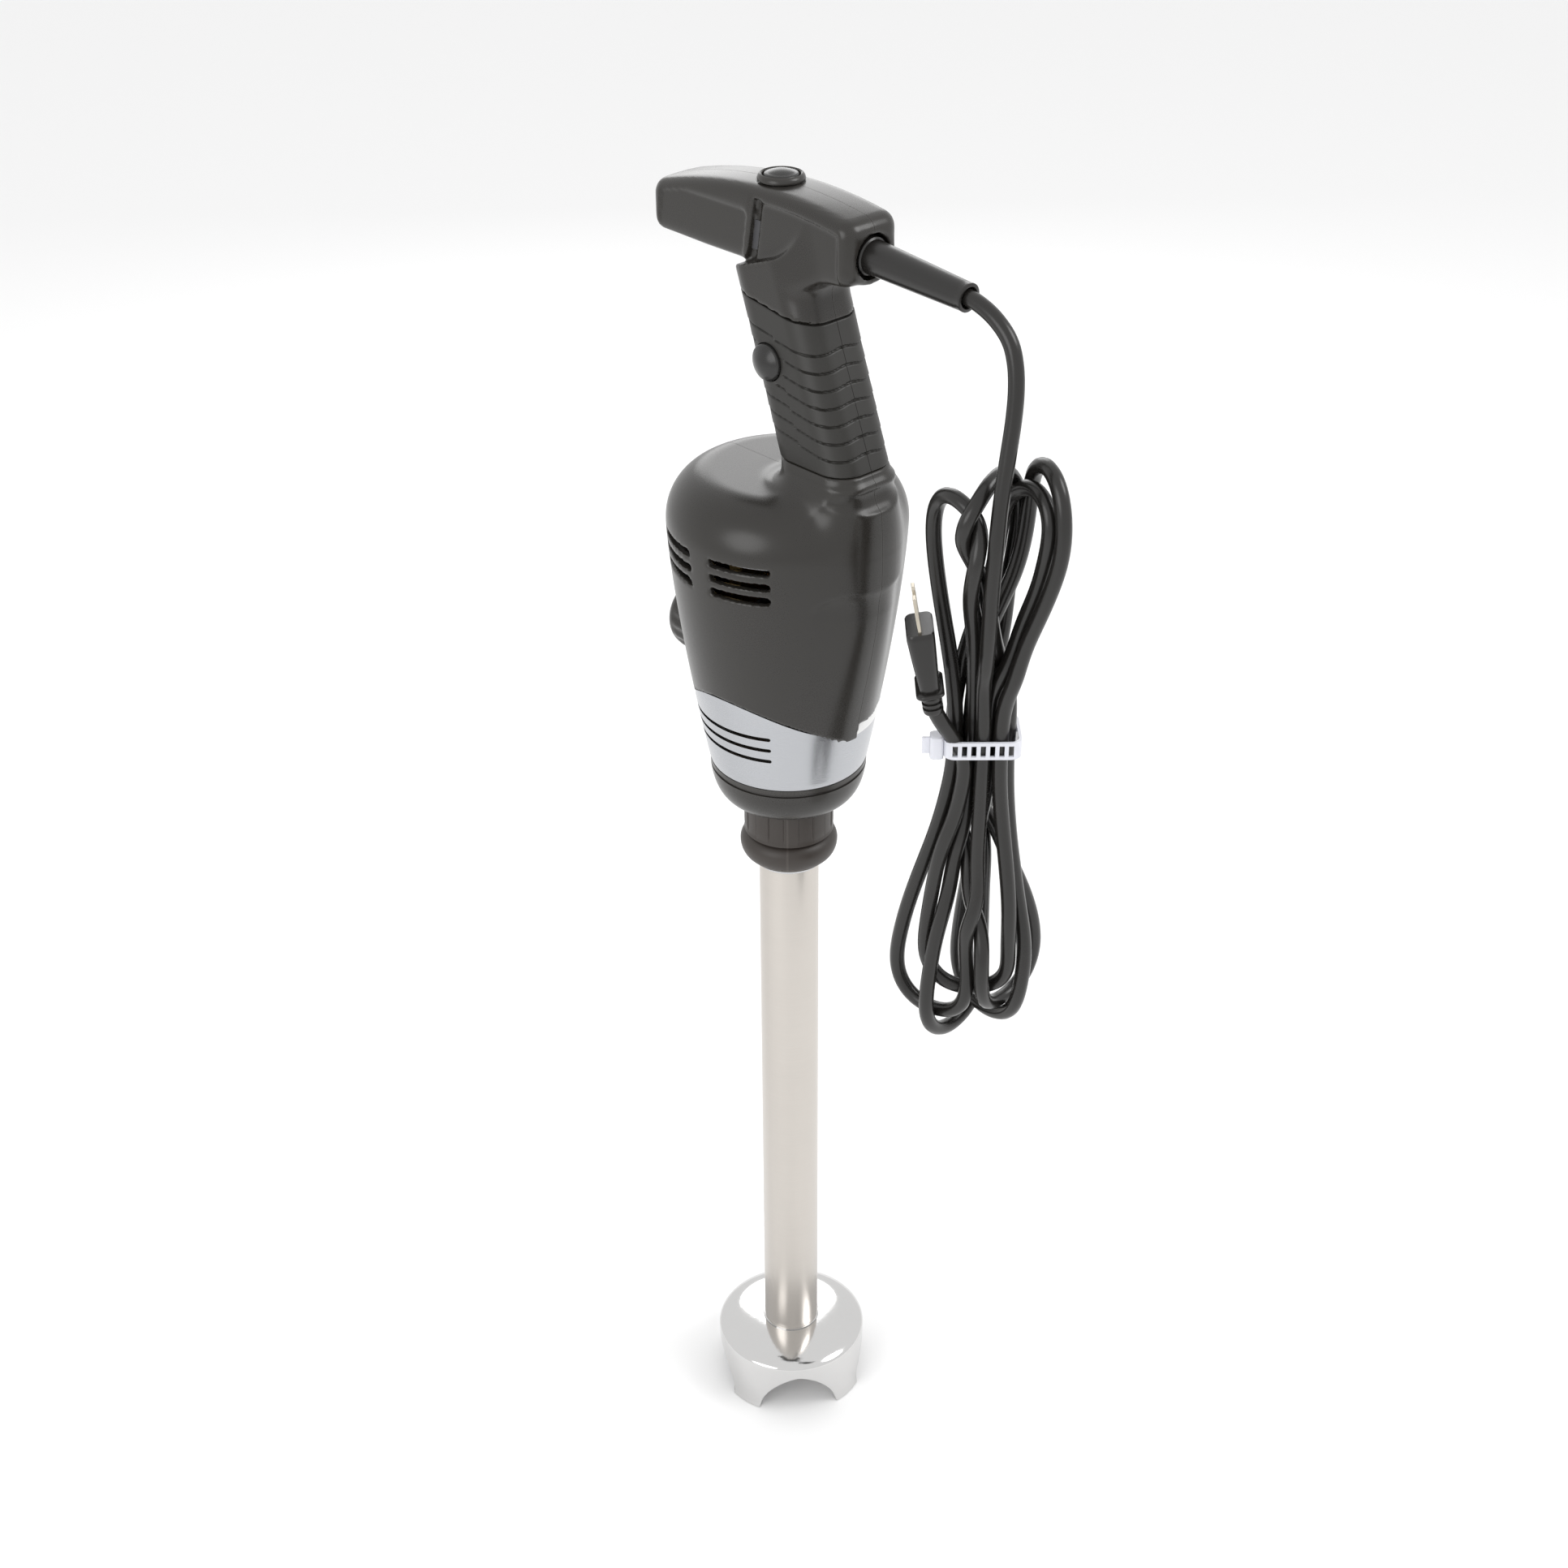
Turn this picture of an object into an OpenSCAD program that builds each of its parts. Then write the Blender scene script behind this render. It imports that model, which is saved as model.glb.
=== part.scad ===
/* [Wand] */
// Outside diameter of the shaft tube
tube_d = 32; // [26:0.5:40]
// Wall of the shaft tube
tube_wall = 1.5; // [1:0.1:2.5]
// Length of the shaft tube above the bell
tube_len = 357; // [200:1:500]
// Outside diameter of the bell guard skirt
bell_d = 88; // [76:0.5:110]
// Height of the bell guard from its feet to the weld
bell_h = 41; // [36:0.5:60]
// Height of the straight skirt of the bell guard
skirt_h = 34; // [28:0.5:36]
// Sheet thickness of the bell guard
bell_wall = 2; // [1.2:0.1:3]
// Number of feet around the bell guard
foot_count = 4; // [3:1:5]
// Angle of the opening between two feet
arch_angle = 62; // [40:1:66]
// Height of the opening between two feet
arch_h = 27; // [16:0.5:28]
// Diameter of the drive shaft
drive_d = 8; // [6:0.5:10]
// Length of the blade from tip to tip
blade_len = 60; // [40:1:68]
// Height of the blade above the feet
blade_z = 11; // [9:0.5:14]

/* [Collar] */
// Outside diameter of the collar body
collar_d = 47; // [46:0.5:56]
// Outside diameter of the collar lip
lip_d = 52; // [50:0.5:62]
// Height of the collar
collar_h = 39.5; // [34:0.5:46]
// Number of ribs around the collar
rib_count = 18; // [8:1:24]

/* [Motor housing] */
// Diameter of the housing at its lower end
base_d = 82; // [78:0.5:96]
// Largest diameter of the housing
housing_d = 120.4; // [112:0.2:140]
// Height of the tapered side of the housing
side_h = 136; // [130:1:160]
// Height of the rounded shoulder
shoulder_h = 26; // [18:0.5:34]
// Wall of the plastic shells
shell_wall = 3; // [2.5:0.1:3.5]
// Thickness of the steel band
band_t = 1; // [0.6:0.1:1.5]
// Height of the front of the steel band
band_front_h = 25; // [22:0.5:30]
// Crest of the steel band above the lower end
band_crest_h = 52; // [40:1:56]
// Height of one vent slot
vent_h = 4; // [2:0.5:5]
// Pitch of the vent slots
vent_pitch = 7.8; // [6.5:0.1:9]
// Height of one slot in the steel band
band_slot_h = 2.2; // [1.5:0.1:3]

/* [Grip and head] */
// Width of the grip from side to side
grip_w = 40; // [36:0.5:48]
// Depth of the grip from front to rear
grip_l = 47; // [42:0.5:56]
// Forward lean of the grip
lean = 19.5; // [12:0.5:22]
// Thickness of the rubber sleeve
sleeve_t = 2.5; // [1.5:0.1:3]
// Width of the head
head_w = 34; // [30:0.5:40]
// Length of the head from nose to rear
head_l = 136; // [120:1:160]
// Height of the head
head_h = 37; // [33:0.5:42]

/* [Controls] */
// Diameter of the button on top of the head
top_button_d = 17; // [14:0.5:20]
// Travel of the button on top of the head
top_travel = 3; // [2:0.5:4]
// Diameter of the button on the side of the grip
side_button_d = 18; // [14:0.5:20]
// Travel of the button on the side of the grip
side_travel = 2.5; // [1.5:0.5:3]
// Diameter of the speed knob
knob_d = 40; // [30:0.5:44]
// Height of the speed knob
knob_h = 20.5; // [16:0.5:28]

/* [Motor] */
// Diameter of the motor shaft
motor_d = 8; // [6:0.5:10]
// Height of the stator stack
stator_h = 40; // [30:1:46]
// Diameter of the armature
armature_d = 40; // [30:1:48]

/* [Cord] */
// Diameter of the mains cord
cord_d = 7.6; // [6:0.1:9]
// Length of the strain relief
relief_l = 58; // [40:1:60]

/* [Hidden] */
$fn = 72;

fit = 0.05;      // radial clearance of a running fit
gap = 0.35;      // clearance between pieces that move past each other
eps = 0.5;       // overrun of a cutter

// Heights along the shaft, from the feet up
tube_r = tube_d / 2;
bore_r = tube_r - tube_wall;
tube_top = bell_h + tube_len;
disc_t = 3.5;
gasket_t = 1.2;
disc_r = tube_r + 3.4;
disc_top = tube_top + disc_t;
spigot_bottom = disc_top + gasket_t + gap;
spigot_r = disc_r + 0.6;
pilot_r = disc_r - 2.5;
pilot_h = 11;
collar_z = tube_top - gap - 19;
collar_top = collar_z + collar_h;
cap_z = collar_top + gap;
cap_h = 23;
base_z = cap_z + cap_h;
side_top = base_z + side_h;
top_z = side_top + shoulder_h;

// Outline of the housing: the radius at a height above its lower end
base_r = base_d / 2;
max_r = housing_d / 2;
function side_r(h) = base_r + (max_r - base_r) * (1 - pow(1 - h / side_h, 1.4));
function side_points(inset, from, to, n = 10) =
  [for (i = [0:n]) let (h = from + (to - from) * i / n) [side_r(h) - inset, base_z + h]];
shoulder_r = 24;
function shoulder_points(inset) = [for (a = [0:10:90])
  [max_r - shoulder_r + (shoulder_r - inset) * cos(a), side_top + (shoulder_h - inset) * sin(a)]];

// Grip axis: it passes through this point and leans forward
grip_y = 28.5;
grip_z = base_z + 190;
function axis_y(z) = grip_y - tan(lean) * (z - grip_z);
sleeve_bottom = base_z + 177;
sleeve_top = base_z + 250;
sleeve_tilt = 9;
grip_low = -28;

// Head
head_top = base_z + 303;
head_front = -78;
head_rear = head_front + head_l;
nose_drop = 9;
button_y = -3;
crown_z = head_top + 0.6;
side_y = 8;
side_z = base_z + 223;
exit_z = head_top - 22;
knob_z = base_z + 57;
knob_y = -side_r(knob_z - base_z + knob_d / 2 + 2) - 1;
boss_r = knob_d / 2 + 2;

// Motor stack, measured from the lower end of the housing
stator_z = base_z + 38;
lower_z = base_z + 12;
upper_z = base_z + 132;
comm_z = base_z + 97;
fan_z = base_z + 20;
dog_z = disc_top + gasket_t + 7;
comm_r = 13;
bearing_r = 11;
bearing_h = 7;

module ring(ro, ri, h) {
  difference() {
    cylinder(r = ro, h = h);
    translate([0, 0, -eps]) cylinder(r = ri, h = h + 2 * eps);
  }
}
module along_x(len) { rotate([90, 0, 90]) translate([0, 0, -len / 2]) linear_extrude(len) children(); }
module along_y(y0, len) { translate([0, y0 + len, 0]) rotate([90, 0, 0]) linear_extrude(len) children(); }
module at_front(y, z) { translate([0, y, z]) rotate([90, 0, 0]) children(); }
module round_box(w, l, r) {
  translate([-w / 2 + r, -l / 2]) square([w - 2 * r, l]);
  translate([-w / 2, -l / 2 + r]) square([w, l - 2 * r]);
  for (x = [-1, 1], y = [-1, 1]) translate([x * (w / 2 - r), y * (l / 2 - r)]) circle(r);
}
// The space on one side of the parting plane
module half(side) { translate([side > 0 ? 0 : -200, -300, 0]) cube([200, 600, 900]); }

// The grip as a leaning bar, grown by a margin, between two distances along its axis
module grip_bar(margin, s0, s1) {
  translate([0, grip_y, grip_z]) rotate([lean, 0, 0]) translate([0, 0, s0])
    linear_extrude(s1 - s0) round_box(grip_w + 2 * margin, grip_l + 2 * margin, 14 + margin);
}
// Plane of the tilted upper edge of the sleeve
module over_sleeve() { translate([0, 35, sleeve_top - 5]) rotate([-sleeve_tilt, 0, 0]) children(); }
module side_button_hole() {
  translate([10, side_y, side_z]) rotate([0, 90, 0]) cylinder(d = side_button_d + 2 * gap, h = 30);
}
// The part of space between the tilted upper edge and the level lower edge of the sleeve
module sleeve_zone() {
  intersection() {
    translate([-100, -150, sleeve_bottom]) cube([200, 300, 200]);
    over_sleeve() translate([-100, -200, -200]) cube([200, 400, 200]);
  }
}

// Head outline seen from the side, drawn in by a wall
function crown(y) = head_top - nose_drop * pow((y - 5) / 70, 2);
module head_outline(wall) {
  polygon(concat([[head_front + wall, head_top - head_h + wall]],
    [for (i = [0:12]) let (y = head_front + wall + (head_l - 2 * wall) * i / 12) [y, crown(y) - wall]],
    [[head_rear - wall, head_top - head_h + wall]]));
}
module head_block(wall) {
  intersection() {
    along_x(head_w + 20) head_outline(wall);
    translate([0, (head_front + head_rear) / 2, head_top - head_h - 10])
      linear_extrude(head_h + 20) round_box(head_w - 2 * wall, head_l - 2 * wall, 8 - wall);
  }
}
exit_tilt = 4;
module exit_axis(s) {
  translate([0, head_rear, exit_z]) rotate([-90 - exit_tilt, 0, 0]) translate([0, 0, s]) children();
}

module band_zone() {
  crest = base_z + band_crest_h;
  translate([-100, -100, base_z - 1]) cube([200, 200, band_front_h + 1]);
  translate([-100, 5, crest - 52]) rotate([0, 90, 0]) cylinder(r = 52, h = 200);
}
// Curved slot cut through the housing wall, between two angles at one height
module wall_slot(a0, a1, z, h, ri, ro) {
  rotate([0, 0, a0]) rotate_extrude(angle = a1 - a0) translate([ri, z - h / 2]) square([ro - ri, h]);
}
module vents() {
  for (side = [0, 1], z = [0:2]) mirror([side, 0, 0]) {
    wall_slot(7, 39, side_top - 19.5 + z * vent_pitch, vent_h, max_r - 14, max_r + 4);
    wall_slot(-37, -5, side_top - 19.5 + z * vent_pitch, vent_h, max_r - 14, max_r + 4);
  }
}
module band_slots(ri) {
  for (side = [0, 1], z = [0:2]) mirror([side, 0, 0])
    wall_slot(-34, 36, base_z + 19.5 + z * 7, band_slot_h, ri, max_r);
}
rating_z = base_z + 32;
module rating_zone(grow) {
  rotate([0, 0, 92]) rotate_extrude(angle = 56)
    translate([base_r - 10, rating_z - 4.5 - grow]) square([30, 9 + 2 * grow]);
}

// Foot of the grip, standing on the rear of the housing
module pedestal() {
  front = grip_y - grip_l / 2 * cos(lean) - sin(lean) * grip_low - 2;
  rear = grip_y + grip_l / 2 * cos(lean) - sin(lean) * grip_low;
  translate([0, (front + rear) / 2, side_top - 15])
    linear_extrude(grip_z + grip_l / 2 * sin(lean) + cos(lean) * grip_low - side_top + 15)
      round_box(grip_w, rear - front, 13);
}
module shell_outside() {
  rotate_extrude()
    polygon(concat([[0, base_z]], side_points(0, 0, side_h), shoulder_points(0), [[0, top_z]]));
  grip_bar(0, grip_low, 84);
  pedestal();
  head_block(0);
  at_front(-20, knob_z) cylinder(r = boss_r, h = -knob_y - 20 - 1.5);
  translate([0, head_rear - 8, exit_z]) rotate([-90, 0, 0]) cylinder(r = 13, h = 6);
}
module shell_inside() {
  w = shell_wall;
  rotate_extrude() polygon(concat([[0, base_z - 1], [side_r(0) - w - band_t, base_z - 1]],
    side_points(w + band_t, 0, side_h), shoulder_points(w + band_t), [[0, top_z - w - band_t]]));
  grip_bar(-sleeve_t - w, grip_low, 96);
  translate([0, 0, side_top - 10]) intersection() {
    cylinder(r = max_r - 14, h = 30);
    translate([-grip_w / 2 + w + 3, 0, 0]) cube([grip_w - 2 * w - 6, 80, 30]);
  }
  difference() {
    head_block(w);
    translate([-50, head_rear - 8, head_top - 60]) cube([100, 40, 90]);
  }
}
module shell(side) {
  color([0.16, 0.155, 0.15]) intersection() {
    half(side);
    difference() {
      shell_outside();
      shell_inside();
      difference() {
        grip_bar(20, -60, 90);
        grip_bar(-sleeve_t, -70, 100);
        translate([-100, -150, 0]) cube([200, 300, sleeve_bottom]);
        over_sleeve() translate([-100, -200, 0]) cube([200, 400, 200]);
      }
      intersection() {
        band_zone();
        rotate_extrude() polygon(concat(side_points(band_t, 0, band_crest_h + 4, 5),
          [[max_r + 9, base_z + band_crest_h + 4], [max_r + 9, base_z - 1], [base_r - band_t, base_z - 1]]));
      }
      intersection() {
        rating_zone(0);
        rotate_extrude() polygon(concat(side_points(1.4, 15, 50, 4),
          [[max_r + 9, base_z + 50], [max_r + 9, base_z + 15]]));
      }
      vents();
      band_slots(base_r - 12);
      at_front(-20, knob_z) cylinder(r = 3 + gap, h = 60);
      translate([0, button_y, head_top - 12]) cylinder(d = top_button_d + 2.2, h = 30);
      if (side > 0) side_button_hole();
      translate([0, head_rear - 20, exit_z]) rotate([-90, 0, 0]) cylinder(r = 7, h = 40);
      translate([0, head_rear - 3, exit_z]) rotate([-90, 0, 0]) cylinder(r = 10.5, h = 10);
      on_screws() cylinder(r = screw_r + 0.2, h = 10);
    }
  }
}
module shell_left() { shell(-1); }
module shell_right() { shell(1); }

module sleeve(side) {
  color([0.13, 0.13, 0.125]) intersection() {
    half(side);
    sleeve_zone();
    difference() {
      grip_bar(0, -40, 80);
      grip_bar(-sleeve_t, -50, 90);
      if (side > 0) side_button_hole();
    }
  }
}
module grip_sleeve_left() { sleeve(-1); }
module grip_sleeve_right() { sleeve(1); }

module steel_band() {
  color([0.8, 0.8, 0.82]) difference() {
    intersection() {
      band_zone();
      rotate_extrude() polygon(concat(side_points(0, 0, band_crest_h + 2, 5),
        [for (p = [5:-1:0]) let (h = (band_crest_h + 2) * p / 5) [side_r(h) - band_t, base_z + h]]));
    }
    band_slots(base_r - 12);
    rating_zone(0);
    at_front(-20, knob_z) cylinder(r = boss_r + gap, h = 60);
  }
}
module rating_plate() {
  color([0.93, 0.93, 0.92]) intersection() {
    rating_zone(-0.05);
    rotate_extrude() polygon(concat(side_points(1.3, 15, 50, 4),
      [for (p = [4:-1:0]) side_points(-0.2, 15, 50, 4)[p]]));
  }
}
cap_t = 3;
seat_r = spigot_r + 8;
module bottom_cap() {
  color([0.16, 0.155, 0.15]) rotate_extrude() polygon(concat([[spigot_r, cap_z]],
    [for (a = [0:10:90]) [seat_r + 2 + (base_r - seat_r - 2) * sin(a), cap_z + cap_h * (1 - cos(a))]],
    [[base_r - shell_wall, base_z]],
    [for (a = [80:-20:0]) [seat_r + (base_r - shell_wall - seat_r) * sin(a),
      cap_z + cap_t + (cap_h - cap_t) * (1 - cos(a))]],
    [[spigot_r, cap_z + cap_t]]));
}
module drive_spigot() {
  color([0.3, 0.3, 0.3]) difference() {
    union() {
      translate([0, 0, spigot_bottom]) cylinder(r = spigot_r, h = cap_z + cap_t - spigot_bottom);
      translate([0, 0, cap_z + cap_t]) cylinder(r = seat_r - 2, h = 3);
    }
    translate([0, 0, spigot_bottom - 1]) cylinder(r = pilot_r + fit, h = 60);
  }
}

module button_bezel() {
  color([0.1, 0.1, 0.1]) difference() {
    union() {
      translate([0, button_y, head_top - 9]) cylinder(d = top_button_d + 2.2, h = 10);
      translate([0, button_y, crown_z]) cylinder(d = top_button_d + 5, h = 2.6);
    }
    translate([0, button_y, head_top - 20]) cylinder(d = top_button_d + 2 * gap, h = 40);
  }
}
module dome(d, h) {
  r = (d * d / 4 + h * h) / (2 * h);
  intersection() { translate([0, 0, h - r]) sphere(r); cylinder(d = d, h = h); }
}
top_stem = 8;
switch_top = head_top - 5 - top_stem - top_travel - gap;
module top_button() {
  color([0.14, 0.14, 0.14]) translate([0, button_y, 0]) {
    translate([0, 0, head_top - 5]) cylinder(d = top_button_d, h = 8);
    translate([0, 0, head_top + 3]) dome(top_button_d, 2);
    translate([0, 0, head_top - 5 - top_stem]) cylinder(d = 5, h = top_stem);
  }
}
module top_button_spring() {
  color([0.7, 0.7, 0.7]) translate([0, button_y, switch_top]) ring(4.6, 3.2, head_top - 5 - switch_top);
}
module power_switch() {
  color([0.2, 0.2, 0.22]) translate([-head_w / 2 + shell_wall, button_y - 9, switch_top - 14])
    cube([head_w - 2 * shell_wall, 18, 14]);
}
button_face = grip_w / 2;
module side_button() {
  color([0.12, 0.12, 0.12]) translate([0, side_y, side_z]) rotate([0, 90, 0]) {
    translate([0, 0, button_face - 4.5]) cylinder(d = side_button_d, h = 6);
    translate([0, 0, button_face + 1.5]) dome(side_button_d, 3);
    translate([0, 0, button_face - 11]) cylinder(d = 6, h = 6.5);
  }
}
module side_button_spring() {
  color([0.7, 0.7, 0.7]) translate([button_face - 10, side_y, side_z]) rotate([0, 90, 0]) ring(5.2, 3, 5.5);
}
module lock_switch() {
  inner = -grip_w / 2 + sleeve_t + shell_wall + 5;
  color([0.2, 0.2, 0.22]) translate([inner, side_y - 6, side_z - 7])
    cube([button_face - 11 - side_travel - gap - inner, 12, 14]);
}

module speed_knob() {
  color([0.1, 0.1, 0.1]) at_front(knob_y, knob_z) difference() {
    union() {
      cylinder(d = knob_d, h = knob_h * 0.6);
      translate([0, 0, knob_h * 0.6]) dome(knob_d, knob_h * 0.4);
      for (a = [0:20:340]) rotate([0, 0, a]) translate([knob_d / 2 - 0.4, 0, 0])
        cylinder(r = 1.3, h = knob_h * 0.6);
    }
    translate([0, 0, -eps]) cylinder(r = 3, h = 15 + eps);
    translate([0, knob_d / 2 - 1, knob_h * 0.6 + 2]) cube([1.6, 8, 8], center = true);
  }
}
pot_front = -(side_r(knob_z - base_z) - shell_wall - band_t - 1.6);
module speed_dial_shaft() {
  color([0.75, 0.75, 0.75]) at_front(pot_front + 3, knob_z) cylinder(r = 3, h = -knob_y + 15 + pot_front + 3);
}
module potentiometer() {
  color([0.25, 0.35, 0.3]) difference() {
    at_front(pot_front + 5, knob_z) cylinder(r = 8, h = 5);
    at_front(pot_front + 3, knob_z) cylinder(r = 3 + fit, h = 20);
  }
}

board_z = upper_z + 12;
module control_board() {
  color([0.1, 0.4, 0.2]) {
    translate([0, 0, board_z]) cylinder(r = 30, h = 1.6);
    translate([-14, -18, board_z + 1.6]) cylinder(d = 10, h = 8);
    translate([-3, -20, board_z + 1.6]) cylinder(d = 8, h = 6);
    translate([6, -22, board_z + 1.6]) cube([14, 6, 7]);
    translate([-22, -4, board_z + 1.6]) cube([8, 14, 5]);
  }
}
post_at = [45, 165, 285];
// Radius that just clears the inside of the shells at a height
function inner_r(z) = side_r(z - base_z) - shell_wall - band_t - gap;
module upper_bracket() {
  color([0.55, 0.56, 0.58]) difference() {
    union() {
      translate([0, 0, upper_z]) cylinder(r = inner_r(upper_z), h = 4);
      translate([0, 0, upper_z - 8]) cylinder(r = bearing_r + 3.5, h = 9);
      for (a = post_at) rotate([0, 0, a]) translate([24, 0, upper_z + 3])
        cylinder(r = 3, h = board_z - upper_z - 3);
    }
    translate([0, 0, upper_z - 8 - eps]) cylinder(r = bearing_r, h = bearing_h + 1 + eps);
    translate([0, 0, upper_z - 10]) cylinder(r = motor_d / 2 + 1, h = 30);
    for (a = [0:60:300]) rotate([0, 0, a + 15]) translate([40, 0, upper_z - 1]) cylinder(r = 8, h = 8);
  }
}
module lower_bracket() {
  rail_r = base_r - 2.8;
  color([0.55, 0.56, 0.58]) difference() {
    union() {
      translate([0, 0, lower_z]) cylinder(r = inner_r(lower_z), h = bearing_h);
      for (a = [45:90:315]) rotate([0, 0, a]) translate([rail_r, 0, lower_z + 1])
        cylinder(r = 2, h = stator_z - lower_z - 1);
    }
    translate([0, 0, lower_z - 1]) cylinder(r = bearing_r, h = bearing_h + 2);
    for (a = [0:90:270]) rotate([0, 0, a]) translate([25, 0, lower_z - 1]) cylinder(r = 8, h = 12);
  }
}
stator_r = base_r - 1;
armature_r = armature_d / 2;
module stator() {
  color([0.5, 0.5, 0.52]) translate([0, 0, stator_z]) ring(stator_r, armature_r + 1, stator_h);
}
module field_coils() {
  color([0.72, 0.4, 0.2]) {
    translate([0, 0, stator_z + stator_h]) ring(stator_r - 4, armature_r + 4, 9);
    translate([0, 0, stator_z - 5]) ring(stator_r - 6, armature_r + 4, 5);
  }
}
module motor_shaft() {
  color([0.75, 0.75, 0.77]) translate([0, 0, dog_z + 12]) cylinder(d = motor_d, h = upper_z + 2 - dog_z - 12);
}
module armature() {
  color([0.45, 0.45, 0.47]) translate([0, 0, stator_z]) {
    ring(armature_r, motor_d / 2, stator_h);
    translate([0, 0, stator_h]) ring(armature_r - 3, motor_d / 2, 7);
    translate([0, 0, -4]) ring(armature_r - 3, motor_d / 2, 4);
  }
}
module commutator() {
  color([0.8, 0.5, 0.3]) difference() {
    translate([0, 0, comm_z]) ring(comm_r, motor_d / 2, 14);
    for (a = [0:15:345]) rotate([0, 0, a]) translate([comm_r - 1, -0.3, comm_z - 1]) cube([3, 0.6, 20]);
  }
}
fan_r = base_r - 6;
module cooling_fan() {
  color([0.85, 0.85, 0.8]) {
    translate([0, 0, fan_z]) ring(9, motor_d / 2, 11);
    translate([0, 0, fan_z]) ring(fan_r, 8, 1.6);
    for (a = [0:30:330]) rotate([0, 0, a]) translate([8, -0.8, fan_z + 1]) cube([fan_r - 9, 1.6, 9]);
  }
}
module bearing(z) {
  color([0.7, 0.71, 0.73]) translate([0, 0, z]) ring(bearing_r, motor_d / 2 + fit, bearing_h);
}
module upper_bearing() { bearing(upper_z - 7.0); }
module lower_bearing() { bearing(lower_z); }
brush_z = comm_z + 7;
module brush_holders() {
  color([0.85, 0.7, 0.35]) for (a = [0, 180]) rotate([0, 0, a]) {
    difference() {
      translate([comm_r + 2, -4.5, brush_z - 5]) cube([20, 9, 10]);
      translate([comm_r + 1, -3, brush_z - 3.5]) cube([17, 6, 7]);
    }
    translate([comm_r + 12, -4.5, brush_z + 5]) cube([10, 9, upper_z - brush_z - 5]);
  }
}
module carbon_brushes() {
  color([0.15, 0.15, 0.16]) difference() {
    for (a = [0, 180]) rotate([0, 0, a]) translate([comm_r - 1, -3, brush_z - 3.5]) cube([15, 6, 7]);
    translate([0, 0, brush_z - 10]) cylinder(r = comm_r + gap, h = 20);
  }
}
dog_r = 9.5;
hex_r = 6.2;
dog_h = 20;
module motor_dog() {
  color([0.6, 0.6, 0.62]) difference() {
    translate([0, 0, dog_z]) cylinder(r = dog_r, h = dog_h);
    translate([0, 0, dog_z + dog_h - 8]) cylinder(d = motor_d, h = 20);
    translate([0, 0, dog_z - 1]) cylinder(r = hex_r + gap, h = 12, $fn = 6);
  }
}
screw_spots = [[head_front + 14, head_top - 27], [head_rear - 14, head_top - 27]];
screw_r = 2.6;
screw_floor = head_w / 2 - 2.5;
module on_screws() {
  for (p = screw_spots) translate([-screw_floor, p[0], p[1]]) rotate([0, -90, 0]) children();
}
module shell_screws() {
  color([0.7, 0.7, 0.72]) on_screws() difference() {
    cylinder(r = screw_r, h = 2.2);
    for (a = [0, 90]) rotate([0, 0, a]) translate([0, 0, 2.2]) cube([1, 3.6, 2.4], center = true);
  }
}

cord_r = cord_d / 2;
module cord_clamp() {
  color([0.3, 0.3, 0.3]) difference() {
    translate([-head_w / 2 + shell_wall, head_rear - 20, exit_z - 8]) cube([head_w - 2 * shell_wall, 7, 16]);
    translate([0, head_rear - 21, exit_z]) rotate([-90, 0, 0]) cylinder(r = cord_r, h = 10);
  }
}
mouth = 8;
module strain_relief() {
  color([0.14, 0.14, 0.14]) difference() {
    union() {
      translate([0, head_rear - 11, exit_z]) rotate([-90, 0, 0]) cylinder(r = 10, h = 3);
      translate([0, head_rear - 9, exit_z]) rotate([-90, 0, 0]) cylinder(r = 7, h = 8);
      exit_axis(-2.5) cylinder(r1 = 7.9, r2 = 6.4, h = relief_l + 2.5);
    }
    exit_axis(-30) cylinder(r = cord_r, h = relief_l + 60);
    exit_axis(relief_l - mouth) cylinder(r = cord_r + 0.9, h = 20);
  }
}

// Route of the free cord, from the mouth of the strain relief to the hank
exit_dir = [0, cos(exit_tilt), -sin(exit_tilt)];
relief_end = [0, head_rear, exit_z] + (relief_l - mouth) * exit_dir;
route = [relief_end, relief_end + 10 * exit_dir, [0, 130, 714], [0, 140, 706], [0.5, 144.5, 696],
  [1.5, 146.5, 684], [3, 147, 671], [5, 147, 658], [7, 147, 645], [9, 147, 630], [11, 147.5, 612],
  [12, 147, 590], [12, 146.5, 570], [10, 144, 552], [7, 140.5, 538]];
function spline(p, i, t) = let (n = len(p) - 1, a = p[max(i - 1, 0)], b = p[i], c = p[min(i + 1, n)],
  d = p[min(i + 2, n)]) 0.5 * (2 * b + (c - a) * t + (2 * a - 5 * b + 4 * c - d) * t * t
  + (3 * b - a - 3 * c + d) * t * t * t);
route_line = [for (i = [0:len(route) - 2], t = [0, 0.34, 0.67]) if (i > 0 || t == 0) spline(route, i, t),
  route[len(route) - 1]];
function unit(v) = v / norm(v);
module tube(line, r, sides = 10) {
  n = len(line);
  dir = [for (i = [0:n - 1]) unit(line[min(i + 1, n - 1)] - line[max(i - 1, 0)])];
  pts = [for (i = [0:n - 1]) let (u = unit(cross(dir[i], [1, 0.05, 0])), v = cross(u, dir[i]))
    for (k = [0:sides - 1]) line[i] + r * (cos(360 * k / sides) * u + sin(360 * k / sides) * v)];
  polyhedron(pts, concat([[for (k = [0:sides - 1]) k]],
    [for (i = [0:n - 2], k = [0:sides - 1]) let (a = i * sides + k, b = i * sides + (k + 1) % sides)
      [a, a + sides, b + sides, b]], [[for (k = [sides - 1:-1:0]) (n - 1) * sides + k]]));
}
module cord_lead() { color([0.12, 0.12, 0.12]) tube(route_line, cord_r); }

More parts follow.
